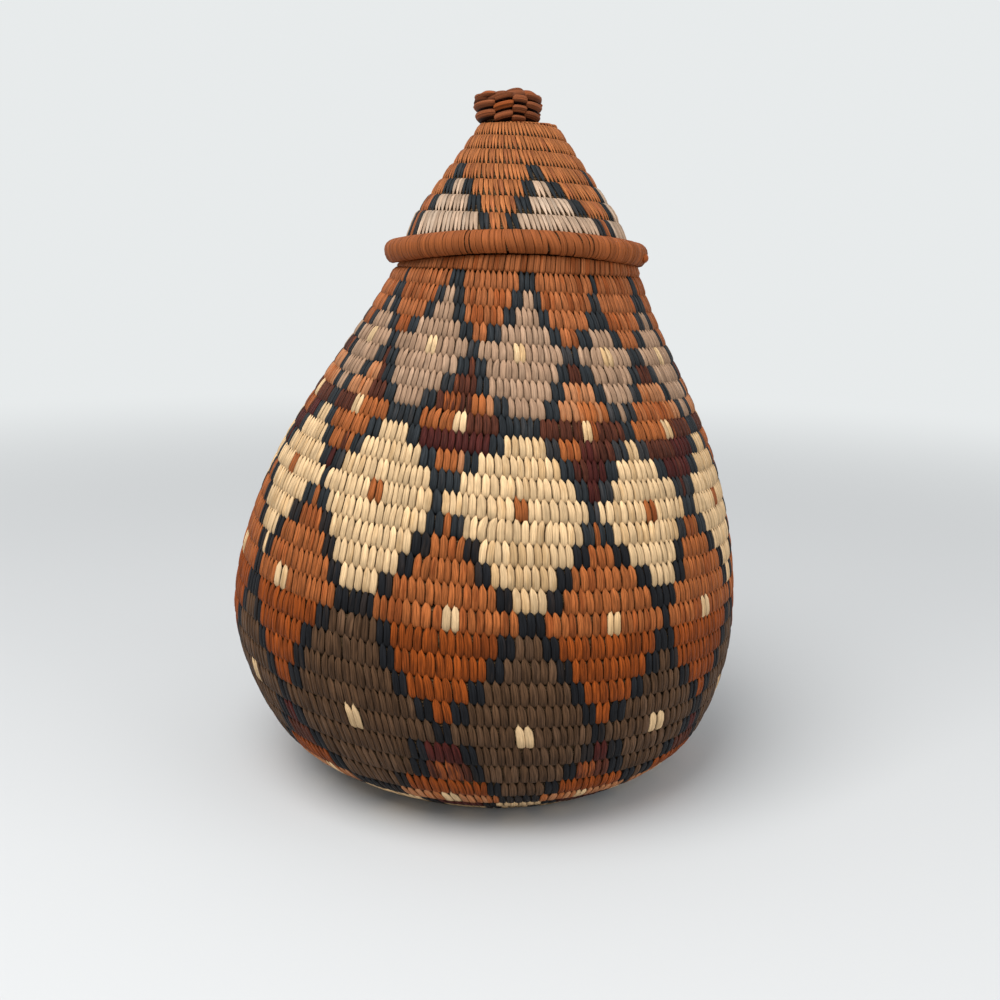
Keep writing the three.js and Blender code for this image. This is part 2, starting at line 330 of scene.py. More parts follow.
def grow_mesh(name, parts, material, body, replaced=()):
    """Makes one piece of closed tubes. Faces are turned outwards by the sign of the volume that they
    close. Corners of all quads come before those of the caps."""
    points, strips, tones, quads, caps, first = [], [], [], [], [], 0
    for part in parts:
        count, rings, sides = part["points"].shape[:3]
        where = part["points"].reshape(-1, 3)
        walls, ends = tube_faces(count, rings, sides, part["closed"])
        if volume_under(where, walls) + volume_under(where, ends) < 0:
            walls, ends = walls[:, ::-1], ends[:, ::-1]
        points.append(where)
        strips.append(part["strips"].reshape(-1, 2))
        tones.append(np.repeat(part["tones"], rings * sides))
        quads.append((walls + first).ravel())
        caps.append(((ends + first).ravel(), sides))
        first += len(where)
    where = np.concatenate(points) / MM
    strip, tone = np.concatenate(strips), np.concatenate(tones)
    corners = np.concatenate(quads + [c for c, _ in caps]).astype(np.int32)
    sizes = [np.full(sum(map(len, quads)) // 4, 4)] + [np.full(len(c) // s, s) for c, s in caps]
    sizes = np.concatenate(sizes)
    starts = np.concatenate([[0], np.cumsum(sizes)[:-1]]).astype(np.int32)
    mesh = bpy.data.meshes.new(name)
    mesh.vertices.add(len(where))
    mesh.vertices.foreach_set("co", where.astype(np.float32).ravel())
    mesh.loops.add(len(corners))
    mesh.loops.foreach_set("vertex_index", corners)
    mesh.polygons.add(len(sizes))
    mesh.polygons.foreach_set("loop_start", starts)
    mesh.polygons.foreach_set("use_smooth", np.ones(len(sizes), bool))
    mesh.update(calc_edges=True)
    layer = mesh.uv_layers.new(name=UV_NAME)
    layer.data.foreach_set("uv", strip[corners].astype(np.float32).ravel())
    mesh.attributes.new("tone", "FLOAT", "POINT").data.foreach_set("value", tone.astype(np.float32))
    mesh.materials.append(material)
    piece = bpy.data.objects.new(name, mesh)
    bpy.context.scene.collection.objects.link(piece)
    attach(piece, body)
    if replaced:
        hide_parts(*replaced)
    return piece


# Stitches along a spiral

# In all the tubes below, values that differ from tube to tube lie on the first axis of an array, those
# that differ from ring to ring on the second, and those that differ round a ring on the third.

# Rings of an outer stitch: how far across the row, and how wide, from its rounded foot to its pointed tip
LEAF_ACROSS = per_ring([-0.635, -0.61, -0.55, -0.45, -0.30, 0.0, 0.30, 0.40, 0.54, 0.80])
LEAF_WIDTH = per_ring([0.20, 0.48, 0.73, 0.93, 1.00, 1.00, 0.97, 0.76, 0.40, 0.04])
# Section of a stitch: across its width, and how high it bulges, with one point underneath
SECTION_ACROSS = np.array([-1.0, -0.78, 0.0, 0.78, 1.0, 0.0])
SECTION_BULGE = np.array([0.0, 0.80, 1.0, 0.80, 0.0, -0.9])
# The same for the stitches inside, which are seen only through the mouth
PLAIN_ACROSS = per_ring([-0.56, -0.42, 0.0, 0.42, 0.56])
PLAIN_WIDTH = per_ring([0.45, 0.88, 1.0, 0.88, 0.45])
PLAIN_SECTION = np.array([-1.0, 0.0, 1.0, 0.0])
PLAIN_BULGE = np.array([0.0, 1.0, 0.0, -0.8])

FOOT_DEPTH = 0.75                # how deep a stitch's foot goes, as a share of the valley's depth
TIP_DEPTH = 0.30
DEPTH_PLACE = 0.6                # how far across the row they are that deep
PINCH_PLACE = 0.42               # a pinched stitch is at its narrowest from here on
LEAN_PLACE = 0.55                # a tip has its whole lean here
STRIP_RUN = 7                    # about how many stitches are sewn with one strip
# How much a stitch may be off in height (mm), twist, reach over its row and lean
STITCH_NOISE = {"rise": 0.12, "twist": 0.2, "reach": 0.025, "sway": 0.1}


def row_depth(across, valley):
    """How deep a stitch lies under the crest of its row: its foot plunges between two stitches of the row
    before, and its tip only dips, because it lies on top, between two feet of the next row."""
    foot = FOOT_DEPTH * np.abs(np.minimum(across, 0) / DEPTH_PLACE) ** 5
    tip = TIP_DEPTH * (np.maximum(across, 0) / DEPTH_PLACE) ** 2
    return valley * (foot + tip)


def run_noise(rng, count, length):
    """Values 0 to 1 that change slowly over about that many stitches, because one strip sews several."""
    knots = rng.random(count // length + 3)
    return np.interp(np.arange(count) / length, np.arange(len(knots)), knots)


class Sewing:
    """The row of stitches along a wall's spiral: the turn, width, tone and tip of each.

    They are laid a round at a time. Each stitch starts from a gap between two stitches of the round
    before, which is where the needle went in, and stitches are added or left out where the widths ask
    for it. A tip leans to its own gap in the round that follows. width_at and slant_at give, by turn,
    the width in mm and how many widths a stitch leans over its row. A new round is shifted by the slant
    and by lean widths more. Places off their even spacing are off by unevenness widths.
    """

    BEYOND = 4                   # turns by which the spacing is carried on past the wall's end
    ENDS = 20                    # steps of the spiral that give the spacing there
    MOST_LEAN = 0.55             # of a tip, in widths
    SMOOTHING = np.array([1, 4, 6, 4, 1]) / 16
    WINDOW = 13                  # stitches over which a lack of stitches is averaged
    EVENING_STEPS = 4

    def __init__(self, wall, width_at, slant_at, rng, first_turn, lean=0.22, unevenness=0.045):
        turns, wound = wall.spiral_length()
        ideal = np.concatenate([[0], np.cumsum(np.diff(wound) / width_at((turns[1:] + turns[:-1]) / 2))])
        rate = (ideal[-1] - ideal[-self.ENDS]) / (turns[-1] - turns[-self.ENDS])
        self.turns = np.append(turns, turns[-1] + self.BEYOND)
        self.ideal = np.append(ideal, ideal[-1] + self.BEYOND * rate)
        self.unevenness, self.rng = unevenness, rng
        laid = [self.even_round(first_turn, first_turn + 1)]
        while laid[-1][-1] < wall.turns:
            laid.append(self.next_round(laid[-1], 0.5 + lean + float(slant_at(laid[-1][-1]))))
        turn = np.concatenate(laid)
        self.turn = turn = turn[turn < wall.turns - 0.01]
        count = len(turn)
        self.per_turn = np.gradient(np.interp(turn, turns, wound), turn)
        self.widths = np.gradient(turn) * self.per_turn
        gaps = (turn[1:] + turn[:-1]) / 2
        self.slant = slant_at(turn)
        wanted = turn + 1 + self.slant * self.widths / self.per_turn
        near = np.clip(np.searchsorted(gaps, wanted), 1, len(gaps) - 1)
        gap = np.where(wanted - gaps[near - 1] < gaps[near] - wanted, gaps[near - 1], gaps[near])
        limit = self.MOST_LEAN * self.widths
        tip = np.where(wanted < turn[-1], np.clip((gap - wanted) * self.per_turn, -limit, limit), 0)
        self.tip = np.convolve(np.pad(tip, 2, mode="edge"), self.SMOOTHING, mode="valid")
        self.tone = 0.45 * run_noise(rng, count, STRIP_RUN) + 0.55 * rng.random(count)
        for name, most in STITCH_NOISE.items():
            setattr(self, name, rng.uniform(-most, most, count))
        self.index = np.arange(count)

    def even_round(self, start, end):
        """A round whose stitches are as wide as asked: equal steps of the count wound up to each turn."""
        low, high = np.interp([start, end], self.turns, self.ideal)
        count = max(6, round(float(high - low)))
        return np.interp(low + (np.arange(count) + 0.5) * (high - low) / count, self.ideal, self.turns)

    def next_round(self, row, drift):
        """The round above another: each stitch lies a turn on and that many spacings further, and then
        one is added or taken out wherever the count due by the widths has moved by a whole stitch."""
        index = np.arange(len(row))
        longer = np.append(row, 1 + np.interp(index[:4] + drift, index, row))
        laid = 1 + np.interp(index + drift, np.arange(len(longer)), longer)
        end = 1 + np.interp(drift, index, laid)
        low, high = np.interp([laid[0], end], self.turns, self.ideal)
        if abs(high - low - len(laid)) > len(laid) / 4:
            return self.even_round(laid[0], end)
        short = np.interp(laid, self.turns, self.ideal) - low - index
        window = np.full(self.WINDOW, 1 / self.WINDOW)
        short = np.convolve(np.pad(short, self.WINDOW // 2, mode="edge"), window, mode="valid")
        change = np.diff(np.floor(short + self.rng.random()))
        more, fewer = 1 + np.flatnonzero(change > 0), 1 + np.flatnonzero(change < 0)
        between = (laid[more - 1] + laid[more]) / 2
        laid = np.sort(np.concatenate([np.delete(laid, fewer), between]))
        for _ in range(self.EVENING_STEPS):
            laid[1:-1] = laid[1:-1] / 2 + (laid[2:] + laid[:-2]) / 4
        shift = np.clip(self.rng.standard_normal(len(laid)), -2, 2)
        return laid + self.unevenness * np.gradient(laid) * shift

    def fields(self, chosen):
        """The values of the chosen stitches, one array for each name, on the tubes' axis."""
        names = ("turn", "widths", "per_turn", "tip", "tone", "rise", "twist", "reach", "sway", "slant")
        return [getattr(self, n)[chosen][:, None, None] for n in names]


def outer_stitches(wall, sewing, chosen, sizes, relief=1.0, pinch=0.0):
    """Leaf-shaped tubes on the outside of a wall. A point's place is its stitch's turn, plus its way
    across the strip, plus the lean of the tip; its depth is the row's, less the strip's bulge. Relief
    deepens the valleys. Pinch narrows a stitch towards its tip, by that share of its width."""
    turn, width, per_turn, tip, tone, rise, twist, reach, sway, slant = sewing.fields(chosen)
    across = LEAF_ACROSS * (1 + reach)
    narrow = LEAF_WIDTH * (1 - pinch * np.clip(LEAF_ACROSS / PINCH_PLACE, 0, 1))
    side, bulge = SECTION_ACROSS, SECTION_BULGE
    lean = np.clip(across / LEAN_PLACE, 0, 1.25) ** 1.5
    aside = side * narrow * width / 2 + lean * tip + (slant + sway) * across * width
    full = sizes.strip_crown * MM
    crown = full * narrow**0.35 * (bulge + twist * side * (bulge > 0))
    depth = row_depth(across, relief * sizes.valley * MM) + rise + full - crown
    points = wall.point(turn + aside / per_turn, across, depth)
    # Along runs from foot to tip, which the strip finish paints from shade at the plunging foot to light at
    # the tip.
    return tubes(points, (side + 1) / 2, across + 0.5, tone.ravel())


def inner_stitches(wall, sewing, chosen, sizes):
    """The same strips inside the wall, plainer: their depth is the wall's thickness, less the row's and
    the strip's own, so that they bulge towards the hollow."""
    turn, width, per_turn, _, tone, rise, *_ = sewing.fields(chosen)
    across, side, bulge = PLAIN_ACROSS, PLAIN_SECTION, PLAIN_BULGE
    aside = side * PLAIN_WIDTH * width / 2
    sunk = row_depth(np.abs(across), sizes.valley * MM)
    depth = wall.thickness - sunk - sizes.strip_crown * MM * (1 - bulge) + rise
    points = wall.point(turn + aside / per_turn, across, depth)
    return tubes(points, (side + 1) / 2, across + 0.5, tone.ravel())


MOUTH_FLARE = 1.6                # the last row's outside leans out by this towards the lid
EDGE_RINGS = 14
EDGE_ANGLES = (-68, 248)         # degrees round the coil's section from its outermost point
EDGE_LENGTHS = 2.2               # length of such a strip, in stitches
EDGE_SQUARENESS = 0.42           # power of the sine and cosine: 1 would make the coil's section round


def edge_wraps(wall, sewing, chosen, sizes, flare=0.0):
    """Strips of the last row, which go up the outside, over the wall's edge and down the inside: the
    section of the coil is a rounded square, followed from low outside to low inside, where the strip
    narrows. Flare leans the outside out, and more so towards the edge."""
    turn, width, per_turn, _, tone, rise, twist, *_ = sewing.fields(chosen)
    around = per_ring(np.radians(np.linspace(*EDGE_ANGLES, EDGE_RINGS)))
    side, bulge = SECTION_ACROSS, SECTION_BULGE
    step = per_ring(range(EDGE_RINGS))
    ends = np.clip(np.minimum(step, step[::-1]) / 1.5 + 0.45, 0, 1)
    aside = side * ends * width / 2
    crown = 0.7 * bulge - 0.5 + twist * side * (bulge > 0)
    half = wall.thickness / 2
    grow = 1 + (sizes.strip_crown * MM * crown - rise) / half
    out = signed_power(np.cos(around), EDGE_SQUARENESS) * grow
    out = out + flare / half * np.clip(out, 0, 1) * np.clip(0.5 + np.sin(around), 0, 1)
    up = signed_power(np.sin(around), EDGE_SQUARENESS) * grow
    points = wall.point(turn + aside / per_turn, 0.5 * up, half * (1 - out))
    # Along runs from low outside over the edge to low inside, so the strip finish paints it lighter up to the
    # edge and in shade down the inside.
    return tubes(points, (side + 1) / 2, per_ring(np.linspace(0, EDGE_LENGTHS, EDGE_RINGS)), tone.ravel())


def grass_coil(wall, first_turn, inset, steps_per_turn=64, sides=10):
    """The bundle of grass under the stitches: an ellipse in the row's section, carried along the spiral."""
    turn = per_ring(np.linspace(first_turn, wall.turns - 0.02, int(steps_per_turn * wall.turns)))
    around = circle(sides)
    depth = wall.thickness / 2 * (1 - np.cos(around)) + inset * np.cos(around)
    points = wall.point(turn, 0.5 * np.sin(around), depth)
    return tubes(points, around / (2 * np.pi), turn * 60, tones=0.5)


# The pattern, counted in stitches

RUST, BLACK, TAUPE, CREAM, GREY, MAROON, ORANGE, NATURAL, DEEP, WINE, SHADED_BLACK = range(11)

# For each row from the neck down: the colour of the diamonds that stand in columns, how many stitches
# wide they are inside their black outline, and the colour between them. A count of -1 or less is only
# the outline's tip.
POT_CHART = {
    2: (BLACK, -1, RUST), 3: (TAUPE, 2, RUST), 4: (TAUPE, 4, RUST),
    5: (TAUPE, 8, RUST), 6: (TAUPE, 14, BLACK), 7: (TAUPE, 11, MAROON), 8: (TAUPE, 9, MAROON),
    9: (TAUPE, 5, ORANGE), 10: (BLACK, 2, MAROON), 11: (CREAM, 6, WINE), 12: (CREAM, 11, WINE),
    13: (CREAM, 15, WINE), 14: (CREAM, 19, BLACK), 15: (CREAM, 15, RUST), 16: (CREAM, 12, RUST),
    17: (CREAM, 8, RUST), 18: (CREAM, 4, RUST), 19: (BLACK, -1, RUST), 20: (GREY, 3, DEEP),
    21: (GREY, 6, DEEP), 22: (GREY, 10, DEEP), 23: (GREY, 14, DEEP), 24: (GREY, 18, BLACK),
    25: (GREY, 13, WINE), 26: (GREY, 10, MAROON), 27: (GREY, 5, DEEP), 28: (BLACK, 1, ORANGE),
    29: (CREAM, 6, WINE), 30: (NATURAL, 4, NATURAL),
}
# Between the diamonds some rows change colour from space to space, and halfway across one. The spaces
# that face front are given from left to right, and the rest repeat them.
SPACE_DYES = {
    8: ((ORANGE, MAROON), (MAROON, MAROON), (ORANGE, ORANGE), (ORANGE, ORANGE)),
    9: ((ORANGE, MAROON), (MAROON, ORANGE), (ORANGE, ORANGE), (RUST, ORANGE)),
    10: ((MAROON, RUST), (RUST, MAROON), (MAROON, MAROON), (RUST, MAROON)),
    11: ((RUST, RUST), (WINE, WINE), (RUST, WINE), (MAROON, WINE)),
    12: ((RUST, MAROON), (RUST, ORANGE), (WINE, WINE), (WINE, WINE)),
}
# Two bright stitches at the middle of a diamond, and at the middle of the space between diamonds
DIAMOND_MIDDLE = {6: CREAM, 14: RUST, 24: CREAM}
SPACE_MIDDLE = {10: CREAM, 19: CREAM, 28: CREAM}
SPACE_MIDDLE_ANGLES = {10: (-43.5, -11.2, 23.4), 19: (-47.3, -6.5, 27.0, 54.0)}
OUTLINE_STITCHES = 2
# The lower outlines get a darker, browner copy of the black: painted shade and warm bounce light of the lower
# rows.
FIRST_SHADED_BLACK_ROW = 16              # from here down the outlines are a browner black
# Middles of the columns, in degrees from the front, on some of the rows. The weaver's columns aren't even.
COLUMN_ROWS = (4, 6, 10, 14, 18, 24, 26)
COLUMN_MIDDLES = (
    (-57.6, -26.6, 5.0, 34.0, 61.5),
    (-58.0, -27.3, 4.2, 34.2, 63.0),
    (-58.2, -27.1, 5.9, 35.4, 66.0),
    (-58.5, -26.9, 6.0, 37.5, 68.0),
    (-58.8, -26.5, 8.6, 39.8, 69.0),
    (-59.3, -26.0, 9.2, 40.0, 70.0),
    (-59.3, -26.5, 8.1, 39.5, 70.0),
)
LEAST_COUNT = -2.5               # a column's count is never less, so the outline's tip still shows
DYE_WANDER = 2                   # stitches by which the border between two dyes of a space wanders
SEEN_REACH = 15                  # degrees round an angle seen, in which no other middle is put
COLUMNS = 11
FIRST_COLUMN = -2
# By how many stitches a column is wider, from a row downwards
COLUMN_CHANGES = {
    -2: ((1, -3),),
    -1: ((1, 0), (6, -1), (7, 0), (11, -1), (13, 0), (14, -1), (15, 0), (16, 1), (19, 3)),
    0: ((6, -1), (7, 0)),
    1: ((1, -4),),
    2: ((1, -2),),
}


def column_middles(row):
    """Angle of each column's middle on a row, in degrees, and of the next round's first."""
    seen = np.array([np.interp(row, COLUMN_ROWS, [m[i] for m in COLUMN_MIDDLES]) for i in range(5)])
    hidden = COLUMNS - len(seen)
    step = (seen[0] + 360 - seen[-1]) / (hidden + 1)
    return np.concatenate([seen, seen[-1] + step * np.arange(1, hidden + 2)])


def column_change(column, row):
    """How much wider a column is on a row than the chart says."""
    return ([0] + [change for top, change in COLUMN_CHANGES.get(column, ()) if row >= top])[-1]


def pot_colours(sewing, rng):
    """Colour of each stitch of the pot. Its row and angle come from its turn; its place in the row is
    counted in stitches from the edges of the diamonds."""
    row = np.floor(POT_ROWS + 1.5 - sewing.turn).astype(int)
    colour = np.full(len(row), NATURAL)
    names = FIRST_COLUMN + np.concatenate([np.arange(COLUMNS), np.arange(COLUMNS + 1) % COLUMNS])
    for n, (inside, count, between) in POT_CHART.items():
        here = row == n
        middles = column_middles(n)
        every = np.concatenate([middles[:-1] - 360, middles])
        index = sewing.index[here]

        def places(angles):
            return np.interp(POT_ROWS + 1 - n - angles / 360, sewing.turn, sewing.index)

        centre = places(every)
        half = np.array([max(count + column_change(c, n), LEAST_COUNT) / 2 for c in names])
        off = index[:, None] - centre[None, :]
        edge = (np.abs(off) - half[None, :]).min(1)
        space = np.clip(np.searchsorted(-centre, -index) - 1, 0, len(every) - 2)
        picked = np.full(len(index), between)
        if n in SPACE_DYES:
            wander = rng.uniform(-DYE_WANDER, DYE_WANDER, len(index))
            left = index > (centre[space] + centre[space + 1]) / 2 + wander
            dyes = np.array(SPACE_DYES[n])
            picked = dyes[(names[space] - FIRST_COLUMN) % len(dyes), np.where(left, 0, 1)]
        picked = np.where(edge < OUTLINE_STITCHES, BLACK, picked)
        picked = np.where(edge < 0, inside, picked)
        if n in DIAMOND_MIDDLE:
            picked = np.where(np.abs(off).min(1) < 1, DIAMOND_MIDDLE[n], picked)
        if n in SPACE_MIDDLE:
            seen = np.array(SPACE_MIDDLE_ANGLES.get(n, ()))
            halfway = (every[1:] + every[:-1]) / 2
            if len(seen):
                unseen = np.abs(halfway[:, None] - seen).min(1) > SEEN_REACH
                halfway = np.concatenate([seen, halfway[unseen]])
            away = np.abs(index[:, None] - places(halfway)[None, :]).min(1)
            picked = np.where(away < 1, SPACE_MIDDLE[n], picked)
        colour[here] = picked
    colour[row == 1] = RUST
    # Painted shade: on the lower rows the black outlines take the darker, browner copy of the black.
    colour[(colour == BLACK) & (row >= FIRST_SHADED_BLACK_ROW)] = SHADED_BLACK
    return row, colour


# Triangles of the lid: on each row from the rim up, how many stitches wide inside the black outline, how
# wide that outline is, and the angles of the middles of two neighbours, which the others repeat every
# third of a round
LID_CHART = {
    1: (16.5, 2, -39.5, 20.4), 2: (9, 3, -40.5, 19.6), 3: (3, 3, -44.5, 16.5), 4: (-3, 3, -54.0, 11.3),
}


def lid_colours(sewing):
    """Colour of each stitch of the lid: triangles that stand on the rim, with black sides and tips."""
    row = np.floor(LID_ROWS + 1.5 - sewing.turn).astype(int)
    colour = np.full(len(row), RUST)
    for n, (count, outline, first, second) in LID_CHART.items():
        here = row == n
        every = np.sort(np.concatenate([[first + a, second + a] for a in (-240, -120, 0, 120, 240)]))
        place = np.interp(LID_ROWS + 1 - n + every / 360, sewing.turn, sewing.index)
        off = np.abs(sewing.index[here][:, None] - place[None, :]).min(1)
        picked = np.where(off < count / 2 + outline, BLACK, RUST)
        colour[here] = np.where(off < count / 2, TAUPE, picked)
    return colour


# Materials

FINISH_OUTPUTS = (
    ("Color", "NodeSocketColor"), ("Roughness", "NodeSocketFloat"), ("Height", "NodeSocketFloat"),
)


class Graph:
    """Adds nodes to a tree in few words."""

    def __init__(self, tree):
        self.tree = tree

    def node(self, kind, **inputs):
        made = self.tree.nodes.new(kind)
        for name, value in inputs.items():
            self.feed(made.inputs[name.replace("_", " ")], value)
        return made

    def feed(self, socket, value):
        if isinstance(value, bpy.types.NodeSocket):
            self.tree.links.new(value, socket)
        else:
            socket.default_value = value

    def math(self, operation, *values, clamp=False):
        made = self.tree.nodes.new("ShaderNodeMath")
        made.operation, made.use_clamp = operation, clamp
        for socket, value in zip(made.inputs, values):
            self.feed(socket, value)
        return made.outputs[0]

    def times(self, first, second):
        return self.math("MULTIPLY", first, second)

    def plus(self, first, second):
        return self.math("ADD", first, second)

    def minus(self, first, second):
        return self.math("SUBTRACT", first, second)

    def mix(self, share, first, second, blend="MIX"):
        made = self.tree.nodes.new("ShaderNodeMix")
        made.data_type, made.blend_type = "RGBA", blend
        self.feed(made.inputs[0], share)
        self.feed(made.inputs[6], first)
        self.feed(made.inputs[7], second)
        return made.outputs[2]

    def ramp(self, value, low, high, to_low=0.0, to_high=1.0):
        made = self.tree.nodes.new("ShaderNodeMapRange")
        made.interpolation_type = "SMOOTHSTEP"
        for socket, number in zip(made.inputs, (value, low, high, to_low, to_high)):
            self.feed(socket, number)
        return made.outputs[0]

    def noise(self, vector, scale, detail):
        made = self.node("ShaderNodeTexNoise", Vector=vector, Scale=scale, Detail=detail, Roughness=0.55)
        return made.outputs["Fac"]

    def shade(self, colour, light):
        """The colour multiplied by a number."""
        grey = self.node("ShaderNodeCombineColor", Red=light, Green=light, Blue=light)
        return self.mix(1.0, colour, grey.outputs[0], "MULTIPLY")

    def blend_shaders(self, share, first, second, output):
        """Gives an output the second shader in that share, and the first in the rest."""
        mixed = self.tree.nodes.new("ShaderNodeMixShader")
        for socket, value in zip(mixed.inputs, (share, first.outputs[0], second.outputs[0])):
            self.feed(socket, value)
        self.feed(output.inputs["Surface"], mixed.outputs[0])

    def from_middle(self, value):
        """How far a strip coordinate is from the strip's middle."""
        return self.math("ABSOLUTE", self.minus(value, 0.5))


def start_group(name, inputs):
    """An empty group with those inputs, the outputs of a finish, and the strip coordinates."""
    group = bpy.data.node_groups.new(name, "ShaderNodeTree")
    for key, value in inputs.items():
        kind = "NodeSocketColor" if isinstance(value, tuple) else "NodeSocketFloat"
        group.interface.new_socket(name=key, in_out="INPUT", socket_type=kind).default_value = value
    for key, kind in FINISH_OUTPUTS:
        group.interface.new_socket(name=key, in_out="OUTPUT", socket_type=kind)
    g = Graph(group)
    given, result, where = g.node("NodeGroupInput"), g.node("NodeGroupOutput"), g.node("ShaderNodeUVMap")
    where.uv_map = UV_NAME
    split = g.node("ShaderNodeSeparateXYZ", Vector=where.outputs[0])
    return group, g, given.outputs, result.inputs, split.outputs[0], split.outputs[1]


def strip_group():
    """Grain of a palm strip. Fine fibres and a crease run along it, and broader streaks change its colour.
    A strip's tone sets how light it is and how much of the second dye it took. Painted shade darkens its
    edges, where it meets its neighbours, and its ends, where it plunges under them. Painted light makes it
    lighter from its foot to its tip, and painted shade darkens the groove of its crease."""
    group, g, given, result, u, v = start_group("Palm strip", {
        "Main": (0.5, 0.3, 0.2, 1), "Second": (0.4, 0.2, 0.1, 1), "Dark": (0.05, 0.03, 0.02, 1),
        "Second share": 0.3, "Fibre contrast": 0.4, "Dirt": 0.5, "Edge start": 0.3,
    })
    attribute = g.node("ShaderNodeAttribute")
    attribute.attribute_name = "tone"
    tone = attribute.outputs["Fac"]

    def grain(across, along, seed, scale, detail):
        """Noise that is drawn out along the strip where along is small, and differs by the tone."""
        at = g.node("ShaderNodeCombineXYZ", X=g.times(u, across), Y=g.times(v, along), Z=g.times(tone, seed))
        return g.noise(at.outputs[0], scale, detail)

    fibre = grain(across=6.5, along=0.7, seed=531.0, scale=1.4, detail=3.0)
    streak = grain(across=2.2, along=0.8, seed=217.0, scale=1.3, detail=2.0)
    patch = grain(across=0.7, along=1.6, seed=89.0, scale=1.0, detail=1.0)
    fibre_mask = g.ramp(fibre, 0.36, 0.60)
    # The second dye is where the tone, moved by the streaks, passes 1 less that dye's share
    taken = g.plus(tone, g.times(g.minus(streak, 0.5), 0.9))
    share = g.ramp(g.minus(taken, g.minus(1.0, given["Second share"])), -0.12, 0.12)
    colour = g.mix(share, given["Main"], given["Second"])
    # Lightness: from 0.83 to 1.17 by the tone, a little by patches, and growing from the foot to the tip,
    # which is
    # painted light: the tip turns up to the light from above and the foot lies in shade
    light = g.plus(g.times(g.math("FRACT", g.times(tone, 7.31)), 0.34), 0.83)
    light = g.times(light, g.ramp(patch, 0.3, 0.7, 0.88, 1.1))
    light = g.times(light, g.ramp(v, -0.15, 1.15, 0.80, 1.22))
    colour = g.shade(colour, light)
    # The crease is a line along the strip, up to 0.17 off its middle by the tone, and only in some patches.
    # Its dark line is painted shade in the fold's groove; the dark between the fibres is the strip's grain.
    aside = g.times(g.minus(g.math("FRACT", g.times(tone, 13.7)), 0.5), 0.34)
    fold = g.math("ABSOLUTE", g.minus(g.minus(u, 0.5), aside))
    crease = g.times(g.ramp(fold, 0.015, 0.075, 1.0, 0.0), g.ramp(patch, 0.42, 0.56))
    hollow = g.math("MAXIMUM", g.minus(1.0, fibre_mask), crease)
    colour = g.shade(colour, g.minus(1.0, g.times(given["Fibre contrast"], hollow)))
    # Painted shade is along both edges, where the strips meet, and stronger at both ends, where they plunge
    # under their neighbours
    edge = g.ramp(g.from_middle(u), given["Edge start"], 0.5)
    ends = g.ramp(g.from_middle(v), 0.48, 0.70)
    dirt = g.math("MAXIMUM", g.times(edge, 0.75), ends)
    colour = g.mix(g.math("MULTIPLY", dirt, given["Dirt"], clamp=True), colour, given["Dark"])
    g.feed(result["Color"], colour)
    g.feed(result["Roughness"], g.ramp(fibre, 0.3, 0.7, 0.72, 0.5))
    g.feed(result["Height"], g.plus(fibre_mask, streak))
    return group


def grass_group():
    """Dry grass of a coil: many thin stalks that run along it, with painted shade in the hollows between
    them. Its colours are darker than straw, as painted shade of the crevices between the stitches, where the
    coil shows.
    """
    pale, dark = (0.22, 0.14, 0.07, 1), (0.03, 0.018, 0.01, 1)
    group, g, given, result, u, v = start_group("Grass coil", {"Pale": pale, "Dark": dark})
    at = g.node("ShaderNodeCombineXYZ", X=g.times(u, 26.0), Y=g.times(v, 0.35))
    stalks = g.noise(at.outputs[0], 1.6, 3.0)
    mask = g.ramp(stalks, 0.36, 0.64)
    g.feed(result["Color"], g.mix(mask, given["Dark"], given["Pale"]))
    g.feed(result["Roughness"], g.ramp(stalks, 0.3, 0.7, 0.9, 0.7))
    g.feed(result["Height"], mask)
    return group


def finish_material(name, group, values, bump):
    """A material whose colour, roughness and relief come from a group, on one Principled shader."""
    material = bpy.data.materials.new(name)
    material.use_nodes = True
    g = Graph(material.node_tree)
    shader = material.node_tree.nodes["Principled BSDF"]
    effect = g.node("ShaderNodeGroup")
    effect.node_tree = group
    for key, value in values.items():
        g.feed(effect.inputs[key], value)
    relief = g.node("ShaderNodeBump", Strength=bump, Distance=0.0002, Height=effect.outputs["Height"])
    g.feed(shader.inputs["Base Color"], effect.outputs["Color"])
    g.feed(shader.inputs["Roughness"], effect.outputs["Roughness"])
    g.feed(shader.inputs["Normal"], relief.outputs[0])
    shader.inputs["Specular IOR Level"].default_value = 0.09
    return material


def shared_group(name, make):
    return bpy.data.node_groups.get(name) or make()


def palm(name, main, second, dark, share=0.3, contrast=0.5, dirt=0.45, edge=0.3):
    """A dyed palm finish, made once. Colours are linear RGB."""
    found = bpy.data.materials.get(name)
    if found:
        return found
    # The dark colour, with its strength and the edge where it starts, is the painted shade at the strip's
    # edges and ends.
    values = {
        "Main": (*main, 1), "Second": (*second, 1), "Dark": (*dark, 1),
        "Second share": share, "Fibre contrast": contrast, "Dirt": dirt, "Edge start": edge,
    }
    return finish_material(name, shared_group("Palm strip", strip_group), values, 0.5)


